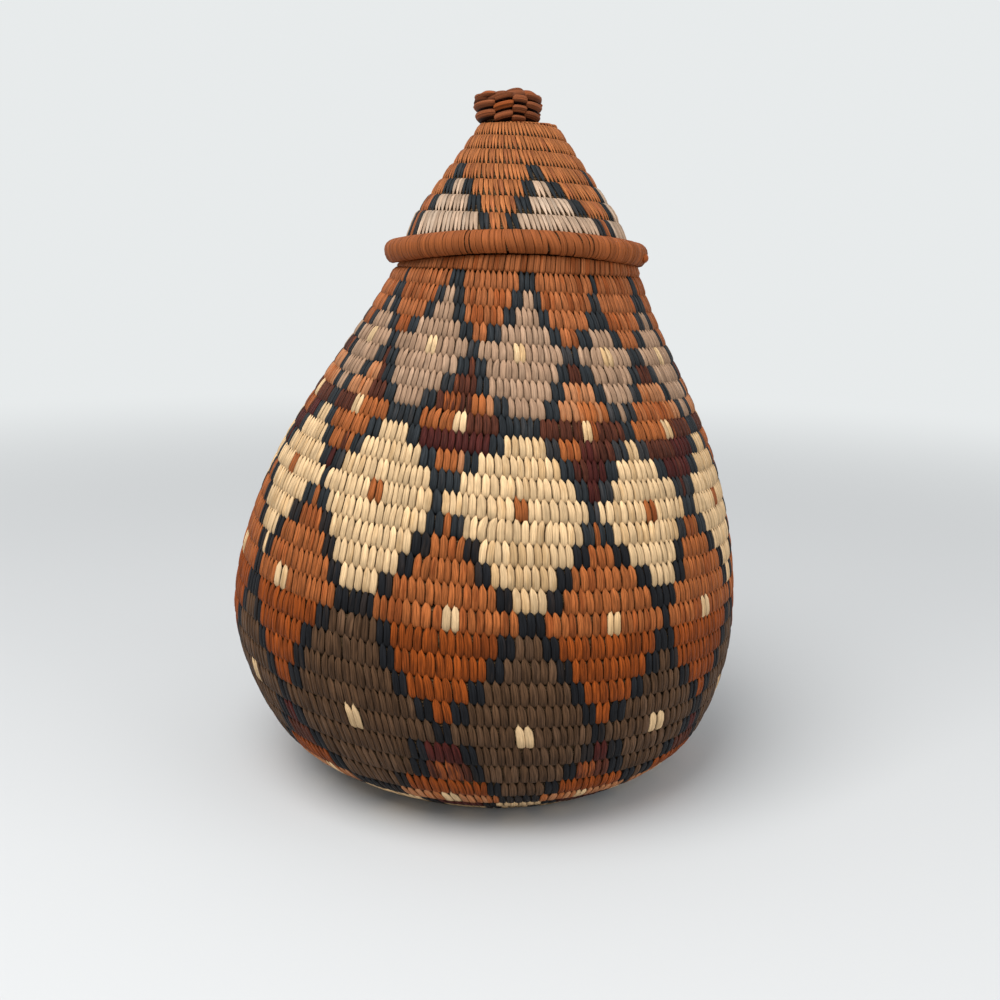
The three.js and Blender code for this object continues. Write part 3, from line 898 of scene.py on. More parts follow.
# Finishes of the pattern's colours: name, the main and the second dye in BasketColours, colour of the painted
# shade at strip edges and ends, share of the second dye, contrast of the fibres, and slot in the record
# Colour of the painted shade at the edges and ends of rust strips
RUST_SHADE = (0.030, 0.014, 0.008)
DYES = {
    RUST: ("Rust palm", "rust", "rust_second", RUST_SHADE, 0.32, 0.55, "rust_palm"),
    BLACK: ("Black palm", "black", "black_second", (0.004, 0.004, 0.005), 0.3, 0.5, "black_palm"),
    TAUPE: ("Taupe palm", "taupe", "taupe_second", RUST_SHADE, 0.3, 0.34, "taupe_palm"),
    CREAM: ("Cream palm", "cream", "cream_second", (0.10, 0.055, 0.025), 0.3, 0.30, "cream_palm"),
    GREY: ("Grey-brown palm", "grey", "grey_second", (0.012, 0.008, 0.005), 0.35, 0.62, "grey_brown_palm"),
    MAROON: ("Maroon palm", "maroon", "rust_second", (0.012, 0.004, 0.003), 0.25, 0.65, "maroon_palm"),
    ORANGE: ("Orange palm", "orange", "rust", RUST_SHADE, 0.3, 0.35, "orange_palm"),
    DEEP: ("Deep rust palm", "deep", "deep_second", RUST_SHADE, 0.3, 0.6, "dark_rust_palm"),
    # Darker, browner copy of the black for the lower outlines: painted shade and warm bounce light.
    SHADED_BLACK: ("Brown-black palm", "umber", "umber_second", (0.004, 0.003, 0.003), 0.3, 0.5, "black_palm"),
    WINE: ("Wine palm", "wine", "maroon", (0.010, 0.003, 0.003), 0.3, 0.65, "maroon_palm"),
    NATURAL: ("Natural palm", "natural", "cream", RUST_SHADE, 0.35, 0.4, "straw_coil"),
}


def palm_finishes(colours):
    """The finish and the record's slot of each colour in the pattern."""
    return {
        dye: (palm(name, getattr(colours, main), getattr(colours, second), *look), slot)
        for dye, (name, main, second, *look, slot) in DYES.items()
    }


def grass_finish():
    name = "Dry grass"
    found = bpy.data.materials.get(name)
    return found or finish_material(name, shared_group("Grass coil", grass_group), {}, 0.8)


# Sizes and colours


def colour_property(name, description, default):
    return bpy.props.FloatVectorProperty(
        name=name, description=description, default=default, size=3, subtype="COLOR", min=0, max=1)


def length_property(name, description, default):
    return bpy.props.FloatProperty(
        name=name, description=description, default=default, min=0, unit="LENGTH", precision=5)


USUAL_WRAP = 0.0034              # in metres; RIM_MARKS gives the widths of the wraps for this value


def power_property(name, description, default, unit):
    return bpy.props.FloatProperty(name=name, description=description, default=default, min=0, unit=unit)


class BasketSizes(bpy.types.PropertyGroup):
    """Sizes of the strips and their stitches."""

    pot_stitch: length_property("Stitch on the belly", "Width of the pot's widest stitches", 0.00375)
    lid_stitch: length_property("Stitch on the lid", "Width of one stitch on the lid", 0.0025)
    rim_wrap: length_property("Rim wrap", "Usual width of one wrap round the lid's rim", USUAL_WRAP)
    strip_crown: length_property("Strip bulge", "How far a strip's middle stands above its edges", 0.0005)
    valley: length_property("Valley", "How deep the feet of stitches plunge under the crests", 0.0019)


class BasketColours(bpy.types.PropertyGroup):
    """Dyes of the palm strips."""

    rust: colour_property("Rust", "Main rust dye", (0.405, 0.118, 0.031))
    rust_second: colour_property("Rust, second", "Redder strips among the rust ones", (0.315, 0.078, 0.018))
    # A copy of the rust for the neck's rows, matched to their look in the lid's shadow: painted shade.
    upper_rust: colour_property("Upper rust", "Rust of the neck's rows", (0.402, 0.127, 0.041))
    # The lid's rust is a paler, less saturated copy of the rust.
    lid_rust: colour_property("Lid rust", "Rust of the lid, which is paler and less saturated", (0.480, 0.165, 0.053))
    lid_rust_second: colour_property("Lid rust, second", "Redder strips among them", (0.360, 0.112, 0.040))
    lid_taupe: colour_property("Lid taupe", "Taupe of the lid, which is paler", (0.525, 0.362, 0.246))
    lid_taupe_second: colour_property("Lid taupe, second", "Palest strips among them", (0.580, 0.430, 0.310))
    rim: colour_property("Rim", "Rust of the lid's rim", (0.278, 0.080, 0.023))
    knob: colour_property("Knob", "Brown of the plaited knob", (0.252, 0.076, 0.028))
    taupe: colour_property("Taupe", "Main taupe dye", (0.388, 0.240, 0.150))
    taupe_second: colour_property("Taupe, second", "Paler strips among the taupe ones", (0.425, 0.272, 0.175))
    cream: colour_property("Cream", "Undyed palm", (0.730, 0.500, 0.272))
    cream_second: colour_property("Cream, second", "Yellower undyed palm", (0.625, 0.400, 0.195))
    grey: colour_property("Grey-brown", "Main grey-brown dye", (0.100, 0.051, 0.025))
    grey_second: colour_property("Grey-brown, second", "Browner strips among them", (0.120, 0.064, 0.034))
    deep: colour_property("Deep rust", "Rust of the belly's lower rows", (0.300, 0.062, 0.0075))
    deep_second: colour_property("Deep rust, second", "Darker strips among them", (0.228, 0.048, 0.007))
    wine: colour_property("Wine", "Darkest maroon dye", (0.074, 0.0135, 0.0100))
    # A darker, browner copy of the black: painted shade and warm bounce light of the lower rows.
    umber: colour_property("Brown-black", "Black of the lower outlines", (0.0110, 0.0118, 0.0142))
    umber_second: colour_property("Brown-black, second", "Browner strips among them", (0.024, 0.018, 0.016))
    maroon: colour_property("Maroon", "Main maroon dye", (0.097, 0.027, 0.0135))
    orange: colour_property("Orange", "Main orange dye", (0.480, 0.200, 0.086))
    black: colour_property("Black", "Blue-black of the outlines", (0.0220, 0.0264, 0.0298))
    black_second: colour_property("Black, second", "Greyer strips among them", (0.042, 0.040, 0.040))
    natural: colour_property("Natural", "Pale strips of the base", (0.450, 0.310, 0.160))


class BasketStage(bpy.types.PropertyGroup):
    """The floor and the light."""

    floor: colour_property("Floor", "Colour of the floor", (0.62, 0.63, 0.63))
    key_power: power_property("Key lamp", "Watts of the lamp at the front", 19, "POWER")
    fill_power: power_property("Fill lamp", "Watts of the lamp at the right", 5, "POWER")
    sky: power_property("Sky", "Strength of the even light", 0.55, "NONE")


# Operators

POT_NODES = ("base_coil", "lower_wall_coil", "belly_wall_coil", "shoulder_coil", "neck_coil")
POT_SEED = 11
LID_SEED = 23
RIM_SEED = 37
FOLDS_SEED = 5
BORDER_SEED = 9


class PieceOperator:
    """What the operators share."""

    bl_options = {"REGISTER", "UNDO"}

    def settings(self, context):
        return context.scene.basket_sizes, context.scene.basket_colours


class BASKET_OT_pot_coil(PieceOperator, bpy.types.Operator):
    """Winds the pot's grass coil from the middle of the base to the mouth"""

    bl_idname = "basket.pot_coil"
    bl_label = "Pot coil"

    def execute(self, context):
        coil = grass_coil(POT_WALL, first_turn=0.2, inset=1.0)
        grow_mesh("pot_grass_coil", [coil], grass_finish(), POT_BODY, POT_NODES)
        return {"FINISHED"}


# Width of the pot's stitches on some of its rows, as shares of the widest
STITCH_ROWS = (1, 3, 5, 8, 10, 14, 18, 22, 26, 30)
STITCH_SHARES = (0.71, 0.71, 0.79, 0.79, 0.84, 0.90, 0.98, 1.0, 0.96, 0.90)


def pot_stitch_width(sizes, turn):
    """Width in mm of the stitches at that turn of the pot's spiral."""
    return sizes.pot_stitch * MM * np.interp(POT_ROWS + 1 - turn, STITCH_ROWS, STITCH_SHARES)


SLANT_TURNS = (24, 31, 37)
SLANTS = (0.10, 0.22, 0.34)


def pot_slant(turn):
    """How many widths a stitch leans over its row: the lower rows stand nearly upright."""
    return np.interp(turn, SLANT_TURNS, SLANTS)


def both_sides(wall, sewing, chosen, sizes, relief=1.0, pinch=0.0):
    """The chosen stitches outside, and the same ones inside."""
    outside = outer_stitches(wall, sewing, chosen, sizes, relief, pinch)
    return [outside, inner_stitches(wall, sewing, chosen, sizes)]


# Pieces of the pot's stitches: name, dye, and the first and the last row from the neck down
POT_TIERS = (
    ("pot_rust_upper", RUST, 1, 9), ("pot_rust_lower", RUST, 10, 30), ("pot_deep_rust", DEEP, 1, 30),
    ("pot_black", BLACK, 1, 30), ("pot_brown_black", SHADED_BLACK, 1, 30), ("pot_taupe", TAUPE, 1, 30),
    ("pot_cream", CREAM, 1, 30), ("pot_grey_brown", GREY, 1, 30), ("pot_maroon", MAROON, 1, 30),
    ("pot_wine", WINE, 1, 30), ("pot_orange", ORANGE, 1, 30), ("pot_natural", NATURAL, 30, 99),
)


class BASKET_OT_pot_stitches(PieceOperator, bpy.types.Operator):
    """Sews the pot: each dye of each tier of the pattern is one piece"""

    bl_idname = "basket.pot_stitches"
    bl_label = "Pot stitches"

    def execute(self, context):
        sizes, colours = self.settings(context)
        finishes = palm_finishes(colours)
        # The neck's rows take the copy of the rust that carries the lid's painted shadow.
        upper = palm("Upper rust palm", colours.upper_rust, colours.rust_second, RUST_SHADE, share=0.32)
        rng = np.random.default_rng(POT_SEED)
        sewing = Sewing(POT_WALL, lambda turn: pot_stitch_width(sizes, turn), pot_slant, rng, first_turn=0.5)
        row, colour = pot_colours(sewing, rng)
        for name, dye, top, bottom in POT_TIERS:
            chosen = (colour == dye) & (row >= top) & (row <= bottom)
            at_mouth = chosen & (row <= 1)
            parts = both_sides(POT_WALL, sewing, chosen & ~at_mouth, sizes)
            if at_mouth.any():
                parts.append(edge_wraps(POT_WALL, sewing, at_mouth, sizes, MOUTH_FLARE))
            material, slot = finishes[dye]
            material = upper if name == "pot_rust_upper" else material
            grow_mesh(name, parts, material, POT_BODY)
        return {"FINISHED"}


class BASKET_OT_lid_coil(PieceOperator, bpy.types.Operator):
    """Winds the lid's grass coil from under the knob to the rim, and the collar's under it"""

    bl_idname = "basket.lid_coil"
    bl_label = "Lid coil"

    def execute(self, context):
        coil = grass_coil(LID_WALL_COIL, first_turn=0.2, inset=1.0)
        grow_mesh("lid_grass_coil", [coil], grass_finish(), LID_BODY, ("lid_cone_coil",))
        collar = grass_coil(COLLAR, first_turn=0.05, inset=0.9)
        grow_mesh("collar_grass_coil", [collar], grass_finish(), LID_BODY, ("lid_collar_coil",))
        return {"FINISHED"}


LID_STITCH_SHARES = (0.64, 0.98)


def lid_stitch_width(sizes, turn):
    """Width in mm of the stitches at that turn of the lid's spiral: they are finer near the knob."""
    return sizes.lid_stitch * MM * np.interp(turn, (LID_TOP_ROWS, LID_ROWS), LID_STITCH_SHARES)


def lid_slant(turn):
    """The lid's stitches lean over their row by their whole width."""
    return 1.0 + 0 * turn


class BASKET_OT_lid_stitches(PieceOperator, bpy.types.Operator):
    """Sews the lid's cone and its collar"""

    bl_idname = "basket.lid_stitches"
    bl_label = "Lid stitches"

    def execute(self, context):
        sizes, colours = self.settings(context)
        finishes = palm_finishes(colours)
        paler_rust = palm("Lid rust palm", colours.lid_rust, colours.lid_rust_second, RUST_SHADE, share=0.32)
        pale = palm(
            "Lid taupe palm", colours.lid_taupe, colours.lid_taupe_second, RUST_SHADE,
            share=0.35, contrast=0.3)
        finishes[RUST], finishes[TAUPE] = (paler_rust, "rust_palm"), (pale, "taupe_palm")
        rng = np.random.default_rng(LID_SEED)
        sewing = Sewing(
            LID_WALL_COIL, lambda turn: lid_stitch_width(sizes, turn), lid_slant, rng,
            first_turn=0.5, lean=0.1, unevenness=0.07)
        colour = lid_colours(sewing)
        for name, dye in (("lid_rust", RUST), ("lid_black", BLACK), ("lid_taupe", TAUPE)):
            parts = both_sides(LID_WALL_COIL, sewing, colour == dye, sizes, relief=1.6, pinch=0.34)
            material, slot = finishes[dye]
            grow_mesh(name, parts, material, LID_BODY)
        width = sizes.lid_stitch * MM
        collar = Sewing(COLLAR, lambda turn: width + 0 * turn, pot_slant, rng, first_turn=0.05)
        last = collar.turn > COLLAR_ROWS - 0.5
        parts = both_sides(COLLAR, collar, ~last, sizes) + [edge_wraps(COLLAR, collar, last, sizes)]
        grow_mesh("collar_stitches", parts, paler_rust, LID_BODY)
        return {"FINISHED"}


class BASKET_OT_lid_rim(PieceOperator, bpy.types.Operator):
    """Wraps the lid's thick rim coil with strips of uneven width"""

    bl_idname = "basket.lid_rim"
    bl_label = "Lid rim"

    def execute(self, context):
        sizes, colours = self.settings(context)
        # The rim's finish paints strong shade into the joints between its wraps.
        rim = palm(
            "Rim palm", colours.rim, colours.rust_second, (0.030, 0.012, 0.006),
            share=0.2, contrast=0.35, dirt=0.85, edge=0.42)
        wraps = [rim_wraps(sizes), rim_end()]
        grow_mesh("rim_wraps", wraps, rim, LID_BODY, ("lid_rim_coil",))
        grow_mesh("rim_grass_coil", [rim_coil(), foot_coil()], grass_finish(), LID_BODY)
        return {"FINISHED"}


RIM_HANG = 1.8                   # at the sides the rim's strips hang this much lower, outside the neck
RESTING_FLATNESS = 0.45          # powers of the sine and the cosine below: 1 would leave an ellipse
INNER_FLATNESS = 0.6


def rim_point(angle, around, inset):
    """Point of the rim: an ellipse section, less an inset, that is squarer where it rests on the pot,
    carried round the lid's axis and dipped at the sides."""
    cosine, sine = np.cos(around), np.sin(around)
    up = np.where((cosine < 0.35) & (sine < 0), signed_power(sine, RESTING_FLATNESS), sine)
    out = np.where((cosine < 0) & (sine < 0), signed_power(cosine, INNER_FLATNESS), cosine)
    radius = RIM_MIDDLE + (RIM_WIDTH / 2 - inset) * out
    hang = RIM_HANG * np.sin(angle) ** 2 * np.clip(2.5 * cosine, 0, 1) * np.clip(-1.3 * sine, 0, 1)
    height = RIM_CENTRE + (RIM_HEIGHT / 2 - inset) * up - hang
    return turned(LID_AXIS, radius, angle, height - sag(angle))


# Wraps of the rim, by degrees from the front: their width in mm, how far they lean in widths, and how deep
# the joints between them are. Most joints close up on the left.
RIM_MARKS = np.array([
    (-180, 3.4, 0.3, 0.8), (-75, 3.2, 0.2, 0.5), (-58, 3.0, 0.1, 0.25), (-24, 3.2, 0.1, 0.25),
    (-20, 2.7, 0.3, 0.9), (-6, 2.8, 0.4, 1.0), (-3, 4.0, 0.75, 1.1), (30, 4.1, 0.75, 1.1),
    (33, 2.3, 0.4, 1.0), (66, 2.3, 0.3, 0.9), (80, 3.3, 0.3, 0.9), (180, 3.4, 0.3, 0.8),
])
RIM_CRACKS = (-21.4, 31.2)       # a wrap at these angles is narrower, which opens a crack beside it
CRACKED_WIDTH = 0.72
WRAP_UNEVENNESS = 0.16           # of the borders between wraps, in widths
WRAP_LEAN_NOISE = 0.1            # how much a wrap may be off in lean, in widths
WRAP_SUNK_MOST = 0.22            # a wrap may lie this much deeper than another, in mm
WRAP_WAVE = 0.1                  # how much its depth goes up and down round the section, in mm
WRAP_RINGS = 20
# Section of a wrap: across its width, and how deep under its top, in bulges of a strip
WRAP_ACROSS = np.array([-1.0, -0.86, 0.0, 0.86, 1.0, 0.0])
WRAP_SUNK = np.array([0.62, 0.10, 0.0, 0.10, 0.62, 2.2])


def rim_wraps(sizes):
    """Closed rings round the rim's section, whose widths fill the circle: their borders are the places
    where the count wound up passes a whole number, moved a little. Each is flat-topped, with rounded
    sides, and leans, because the strip climbs as it is wound."""
    rng = np.random.default_rng(RIM_SEED)
    fine = np.linspace(-180, 180, 3601)
    rate = np.radians(RIM_RADIUS) / (np.interp(fine, *RIM_MARKS[:, :2].T) * sizes.rim_wrap / USUAL_WRAP)
    wound = np.concatenate([[0], np.cumsum((rate[1:] + rate[:-1]) / 2 * np.diff(fine))])
    count = round(float(wound[-1]))
    ends = np.arange(count) + WRAP_UNEVENNESS * rng.standard_normal(count)
    start = np.sort(np.interp(np.clip(ends, 0, None) * wound[-1] / count, wound, fine))
    stop = np.append(start[1:], start[0] + 360)
    start, stop = start[:, None, None], stop[:, None, None]
    wide, middle = np.radians(stop - start), (start + stop) / 2
    slope, joint = (np.interp(middle, RIM_MARKS[:, 0], RIM_MARKS[:, i]) for i in (2, 3))
    cracked = np.any([(start < crack) & (crack <= stop) for crack in RIM_CRACKS], axis=0)
    shut = np.where(cracked, CRACKED_WIDTH, 1.0)
    around = per_ring(circle(WRAP_RINGS))
    side, sunk = WRAP_ACROSS, WRAP_SUNK * sizes.strip_crown * MM * joint
    slope = slope + rng.uniform(-WRAP_LEAN_NOISE, WRAP_LEAN_NOISE, (count, 1, 1))
    angle = np.radians(middle) + side * shut * wide / 2 - slope * wide / 2 * np.sin(around)
    deeper = rng.uniform(0, WRAP_SUNK_MOST, (count, 1, 1)) + WRAP_WAVE * np.sin(2.3 * around + middle)
    points = rim_point(angle, around, sunk + deeper * joint)
    # The strip coordinate is highest on the outer face, so the finish's painted light makes the wraps lighter
    # outside than inside.
    along = 0.5 + 0.5 * np.abs(around / np.pi - 1)
    return tubes(points, (side + 1) / 2, along, 0.62 * rng.random(count), closed=True)


RIM_END_ANGLE = 74               # degrees from the front
RIM_END_SIZE = (0.055, 1.9, 2.3)  # half its length in radians, and its half width and height in mm
RIM_END_INSET = 0.6              # how far its middle is inside RIM_RADIUS
RIM_END_DROP = 2.0               # how far its middle is under the rim's


def rim_end():
    """The cut end of the rim's coil, a small ellipsoid that stands out at the right."""
    along, around = per_ring(np.linspace(0.08, np.pi - 0.08, 9)), circle(12)
    half_span, half_width, half_height = RIM_END_SIZE
    angle = np.radians(RIM_END_ANGLE) + half_span * np.cos(along)
    radius = RIM_RADIUS - RIM_END_INSET + half_width * np.sin(along) * np.cos(around)
    height = RIM_CENTRE - RIM_END_DROP - RIM_SAG + half_height * np.sin(along) * np.sin(around)
    return tubes(turned(LID_AXIS, radius, angle, height), 0.5 + 0.49 * np.cos(along), 0.5, tones=0.95)


def rim_coil():
    """The grass bundle inside the rim's wraps, as one closed ring."""
    angle, around = per_ring(circle(160)), circle(12)
    points = rim_point(angle, around, inset=1.2)
    return tubes(points, around / (2 * np.pi), angle * 20, tones=0.5, closed=True)


FOOT_COIL_INSET = 5.4
FOOT_COIL_RADIUS = 2.6


def foot_coil():
    """A thin grass bundle in the joint between the cone's foot and the rim, a ring of round section."""
    angle, around = per_ring(circle(120)), circle(10)
    radius = RIM_MIDDLE - FOOT_COIL_INSET + FOOT_COIL_RADIUS * np.cos(around)
    height = RIM_CENTRE + FOOT_COIL_RADIUS + FOOT_COIL_RADIUS * np.sin(around) - sag(angle)
    points = turned(LID_AXIS, radius, angle, height)
    return tubes(points, around / (2 * np.pi), angle * 20, tones=0.5, closed=True)


# Knob: columns of plaited folds, with the angles where they meet, and how each column slopes
KNOB_BOUNDS = (-88.0, -25.0, 8.6, 35.0, 90.0, 145.0, 205.0)
KNOB_SLOPES = (0.9, 1.1, -0.3, -1.1, -0.6, 0.7, -0.4)
KNOB_FOLDS_UP = 3
KNOB_FOLD_PITCH = 4.6
KNOB_FOLD_THICK = 2.0            # half the thickness of a fold
KNOB_FOLD_INSET = 2.5            # its middle is this far inside the outline
KNOB_FIRST_TOPS = (5.0, 4.3, 2.9, 4.3, 5.2, 3.4, 4.6)      # top of each column's lowest fold, in mm
KNOB_FOLD_FULLNESS = 0.35        # how much fuller it is above than below
KNOB_FOLD_REACH = 0.49           # how far it goes above and below its middle, in pitches
KNOB_FOLD_OUT = 0.75             # its top stands this far out
KNOB_FOLD_TUCK = 0.6             # its ends tuck in this far
KNOB_FOLD_THINNING = 0.12        # share by which they are thinner
KNOB_FOLD_OVERLAP = 1.04         # its length, in widths of its column
KNOB_FOLD_SLOPE = 2.2            # how much higher one end is than the other in a column of slope 1
KNOB_FOLD_DROOP = 0.25           # how much lower both ends are
KNOB_FOLD_WANDER = 0.15          # how much it may be off in height
KNOB_FOLD_SIZES = (0.95, 1.03)   # smallest and largest, as shares of the usual size
KNOB_FOLD_LIMITS = (-0.25, KNOB_HEIGHT + 1.4)    # lowest and highest point of a fold
# Outline of the plaiting: shares of its height, and radii
KNOB_LEVELS = (0.0, 0.35, 0.75, 1.0)
KNOB_RADII = (16.0, 16.6, 17.7, 17.0)


def knob_folds():
    """Folds of the plaited strips, one above the other in each column. Each is a fat roll carried round
    its column's arc on the plaiting's outline, fuller above than below, and its ends tuck in behind the
    next column."""
    rng = np.random.default_rng(FOLDS_SEED)
    share, around = per_ring(np.linspace(-0.5, 0.5, 9)), circle(12)
    out = np.cos(around) * (1 + KNOB_FOLD_FULLNESS * np.sin(around))
    up = signed_power(np.sin(around), 0.8)
    tuck = np.abs(2 * share) ** 6
    points, tones = [], []
    bounds = KNOB_BOUNDS + (KNOB_BOUNDS[0] + 360,)
    for column, slope in enumerate(KNOB_SLOPES):
        low, high = bounds[column], bounds[column + 1]
        middle, wide = math.radians((low + high) / 2), math.radians(high - low)
        for step in range(KNOB_FOLDS_UP):
            wander = rng.uniform(-KNOB_FOLD_WANDER, KNOB_FOLD_WANDER)
            centre = KNOB_FIRST_TOPS[column] + (step - 0.5) * KNOB_FOLD_PITCH + wander
            full = (1 - KNOB_FOLD_THINNING * tuck) * rng.uniform(*KNOB_FOLD_SIZES)
            rise = up * KNOB_FOLD_PITCH * KNOB_FOLD_REACH * full
            height = centre + rise + slope * share * KNOB_FOLD_SLOPE - KNOB_FOLD_DROOP * (2 * share) ** 2
            height = np.clip(height, *KNOB_FOLD_LIMITS)
            outline = np.interp(np.clip(height / KNOB_HEIGHT, 0, 1), KNOB_LEVELS, KNOB_RADII)
            out_here = (KNOB_FOLD_THICK * out + KNOB_FOLD_OUT * up) * full
            radius = outline - KNOB_FOLD_INSET + out_here - KNOB_FOLD_TUCK * tuck
            angle = middle + share * wide * KNOB_FOLD_OVERLAP
            points.append(turned(KNOB_AXIS, radius, angle, KNOB_FOOT + height))
            tones.append(rng.random())
    # The strip coordinate runs round each fold's section and falls fast below its middle, so the finish
    # paints shade on the underside and light on the top.
    return tubes(np.array(points), 0.5 + 0.42 * up, 0.5 + np.where(up < 0, 1.2, 0.5) * up, np.array(tones))


# Strips folded over the knob's edge: where each starts and how far it goes, in degrees, how high its
# start and its end are above the plaiting, and how thick it is
KNOB_FOLDS_OVER = (
    (-104, 78, -1.3, 1.3, 1.3), (-44, 58, -0.4, 1.0, 1.0), (-4, 50, 1.3, 2.1, 1.05),
    (30, 72, 1.6, -0.4, 1.1), (92, 76, 0.2, 0.0, 1.0), (150, 70, 0.0, 0.6, 1.0), (206, 62, 0.4, -0.8, 1.0),
)
BORDER_INSET = 2.4               # of the folded strips' middles from the plaiting's outline
BORDER_START_IN = 1.4            # how much further in they start
BORDER_TURN_IN = 3.4             # how much further in they end
BORDER_SUNK = 0.4                # taken off the heights in KNOB_FOLDS_OVER
BORDER_ARCH = 0.5                # how much higher they are halfway
BORDER_DIP = 1.3                 # how much lower they end
BORDER_WIDTH = 2.9               # half their width
BORDER_THICK = 1.9               # half their thickness
BORDER_SLOPE = (0.86, -0.5)      # a strip's width slopes down outwards: its parts outwards and up


def knob_border():
    """Strips folded over the knob's edge. Each rises from under its neighbour, goes along the edge and
    then turns in across the top: an ellipse section carried along that curve."""
    rng = np.random.default_rng(BORDER_SEED)
    start, span, low, high, thick = (np.array(v, float)[:, None, None] for v in zip(*KNOB_FOLDS_OVER))
    along, around = per_ring(np.linspace(0, 1, 14)), circle(10)
    angle = np.radians(start + span * along)
    start_in = BORDER_START_IN * (1 - along) ** 3
    radius = KNOB_RADII[-1] - BORDER_INSET - BORDER_TURN_IN * along**2.5 - start_in
    height = KNOB_FOOT + KNOB_HEIGHT - BORDER_SUNK + low + (high - low) * along
    height = height + BORDER_ARCH * np.sin(np.pi * along) - BORDER_DIP * along**6
    taper = thick * (0.72 + 0.28 * np.sin(np.pi * np.clip(along * 0.92 + 0.06, 0, 1)))
    across, up = BORDER_WIDTH * taper * np.cos(around), BORDER_THICK * taper * np.sin(around)
    out, rise = BORDER_SLOPE
    points = turned(KNOB_AXIS, radius + across * out, angle, height + up + rise * across)
    # The strip coordinate falls on the underside, so the finish paints shade there.
    inner = 0.5 + 0.75 * np.minimum(np.sin(around), 0)
    return tubes(points, 0.5 + 0.42 * np.cos(around), inner, rng.random(len(KNOB_FOLDS_OVER)))


KNOB_TOP_TURNS = (20.0, 110.0)   # degrees by which the two layers of flat strips are turned
KNOB_TOP_OFFSETS = (-4.4, 0.0, 4.4)
KNOB_TOP_REACH = 11.0            # half the length of the middle strips
KNOB_TOP_WIDTH = 2.1             # half the width of a strip
KNOB_TOP_RISE = 1.6              # how high they arch above the plaiting
KNOB_TOP_WAVE = 0.35             # how far they go up and down over the others


def knob_top():
    """Flat strips that close the top inside the border: three one way and three across them, each a
    shallow arch that goes over and under the others."""
    along = per_ring(np.linspace(-1, 1, 9))
    side = np.array([-1.0, -0.5, 0.5, 1.0, 0.5, -0.5])
    sunk = np.array([0.15, 0.0, 0.0, 0.15, 0.7, 0.7])
    turns = np.radians(np.repeat(KNOB_TOP_TURNS, 3))[:, None, None]
    offsets = np.tile(KNOB_TOP_OFFSETS, 2)[:, None, None]
    weave = np.tile([1.0, -1.0], 3)[:, None, None]
    x = along * (KNOB_TOP_REACH - 0.12 * offsets**2) + 0 * side
    y = offsets + side * KNOB_TOP_WIDTH + 0 * along
    top = KNOB_FOOT + KNOB_HEIGHT + KNOB_TOP_RISE
    height = top - KNOB_TOP_RISE * along**2 - 0.02 * offsets**2 - sunk
    height = height + KNOB_TOP_WAVE * weave * np.cos(2.5 * np.pi * along)
    points = np.stack([
        KNOB_AXIS + x * np.cos(turns) - y * np.sin(turns), x * np.sin(turns) + y * np.cos(turns), height,
    ], axis=-1)
    return tubes(points, (side + 1) / 2, 0.5 + 0.3 * along, np.linspace(0.1, 0.9, 6))


def knob_stub():
    """The stub inside the plaiting: a rounded post, its radius following its height."""
    height = per_ring([0.2, 1.0, 6.0, 9.4, 10.6, 11.0])
    radius = per_ring([11.0, 12.0, 12.6, 12.6, 11.0, 8.0])
    angle = circle(28)
    points = turned(KNOB_AXIS, radius, angle, KNOB_FOOT + height)
    return tubes(points, angle / (2 * np.pi), height / 6, tones=0.4)


class BASKET_OT_knob(PieceOperator, bpy.types.Operator):
    """Plaits the knob: its folds, border, top and the stub inside"""

    bl_idname = "basket.knob"
    bl_label = "Knob"

    def execute(self, context):
        _, colours = self.settings(context)
        # Strong painted shade darkens the undersides of the folds and the crevices between them.
        brown = palm(
            "Knob palm", colours.knob, colours.rust_second, (0.010, 0.003, 0.002),
            share=0.25, contrast=0.6, dirt=1.0, edge=0.22)
        for name, part, replaced in (
            ("knob_folds", knob_folds(), ("knob_weave",)),
            ("knob_border_strips", knob_border(), ("knob_border",)),
            ("knob_top_strips", knob_top(), ()),
        ):
            grow_mesh(name, [part], brown, LID_BODY, replaced)
        grow_mesh("knob_stub", [knob_stub()], grass_finish(), LID_BODY, ("knob_core",))
        return {"FINISHED"}


class BASKET_OT_stage(PieceOperator, bpy.types.Operator):
    """Sets the camera, a pale floor and soft studio light"""

    bl_idname = "basket.stage"
    bl_label = "Stage"

    def execute(self, context):
        stage = context.scene.basket_stage
        scene = context.scene
        scene.view_settings.view_transform = "Standard"
        make_camera(scene)
        make_floor(stage)
        make_world(scene, stage)
        make_lamp("key", KEY_PLACE, stage.key_power)
        make_lamp("fill", FILL_PLACE, stage.fill_power)
        return {"FINISHED"}


CAMERA_PLACE = (0.0075, -0.6013, 0.2689)
CAMERA_DOWN = 12.40              # degrees
CAMERA_ROLL = 1.01               # degrees
CAMERA_LENS = 41.83              # mm, on a sensor 36 mm wide
KEY_PLACE = (-0.42, -0.62, 1.25)
FILL_PLACE = (1.0, -0.6, 0.6)
LAMP_TARGET = (0, 0, 0.16)
LAMP_SIZE = 1.0
FLOOR_LEVEL = -0.0004
FLOOR_RADII = (0.3, 1.0, 3.0, 9.0)
FLOOR_STEPS = 64
FLOOR_FADE = (0.35, 1.6)         # metres from the middle between which the floor fades
BACKGROUND = (0.805, 0.83, 0.835, 1)


def make_camera(scene):
    """The photograph's viewpoint: 0.6 m in front, a little above the neck, looking down on the basket."""
    data = bpy.data.cameras.new("camera")
    data.sensor_width = 36
    data.lens = CAMERA_LENS
    data.clip_start = 0.02
    camera = bpy.data.objects.new("camera", data)
    camera.matrix_world = (
        Matrix.Translation(CAMERA_PLACE)
        @ Matrix.Rotation(math.radians(90 - CAMERA_DOWN), 4, "X")
        @ Matrix.Rotation(math.radians(CAMERA_ROLL), 4, "Z")
    )
    scene.collection.objects.link(camera)
    scene.camera = camera


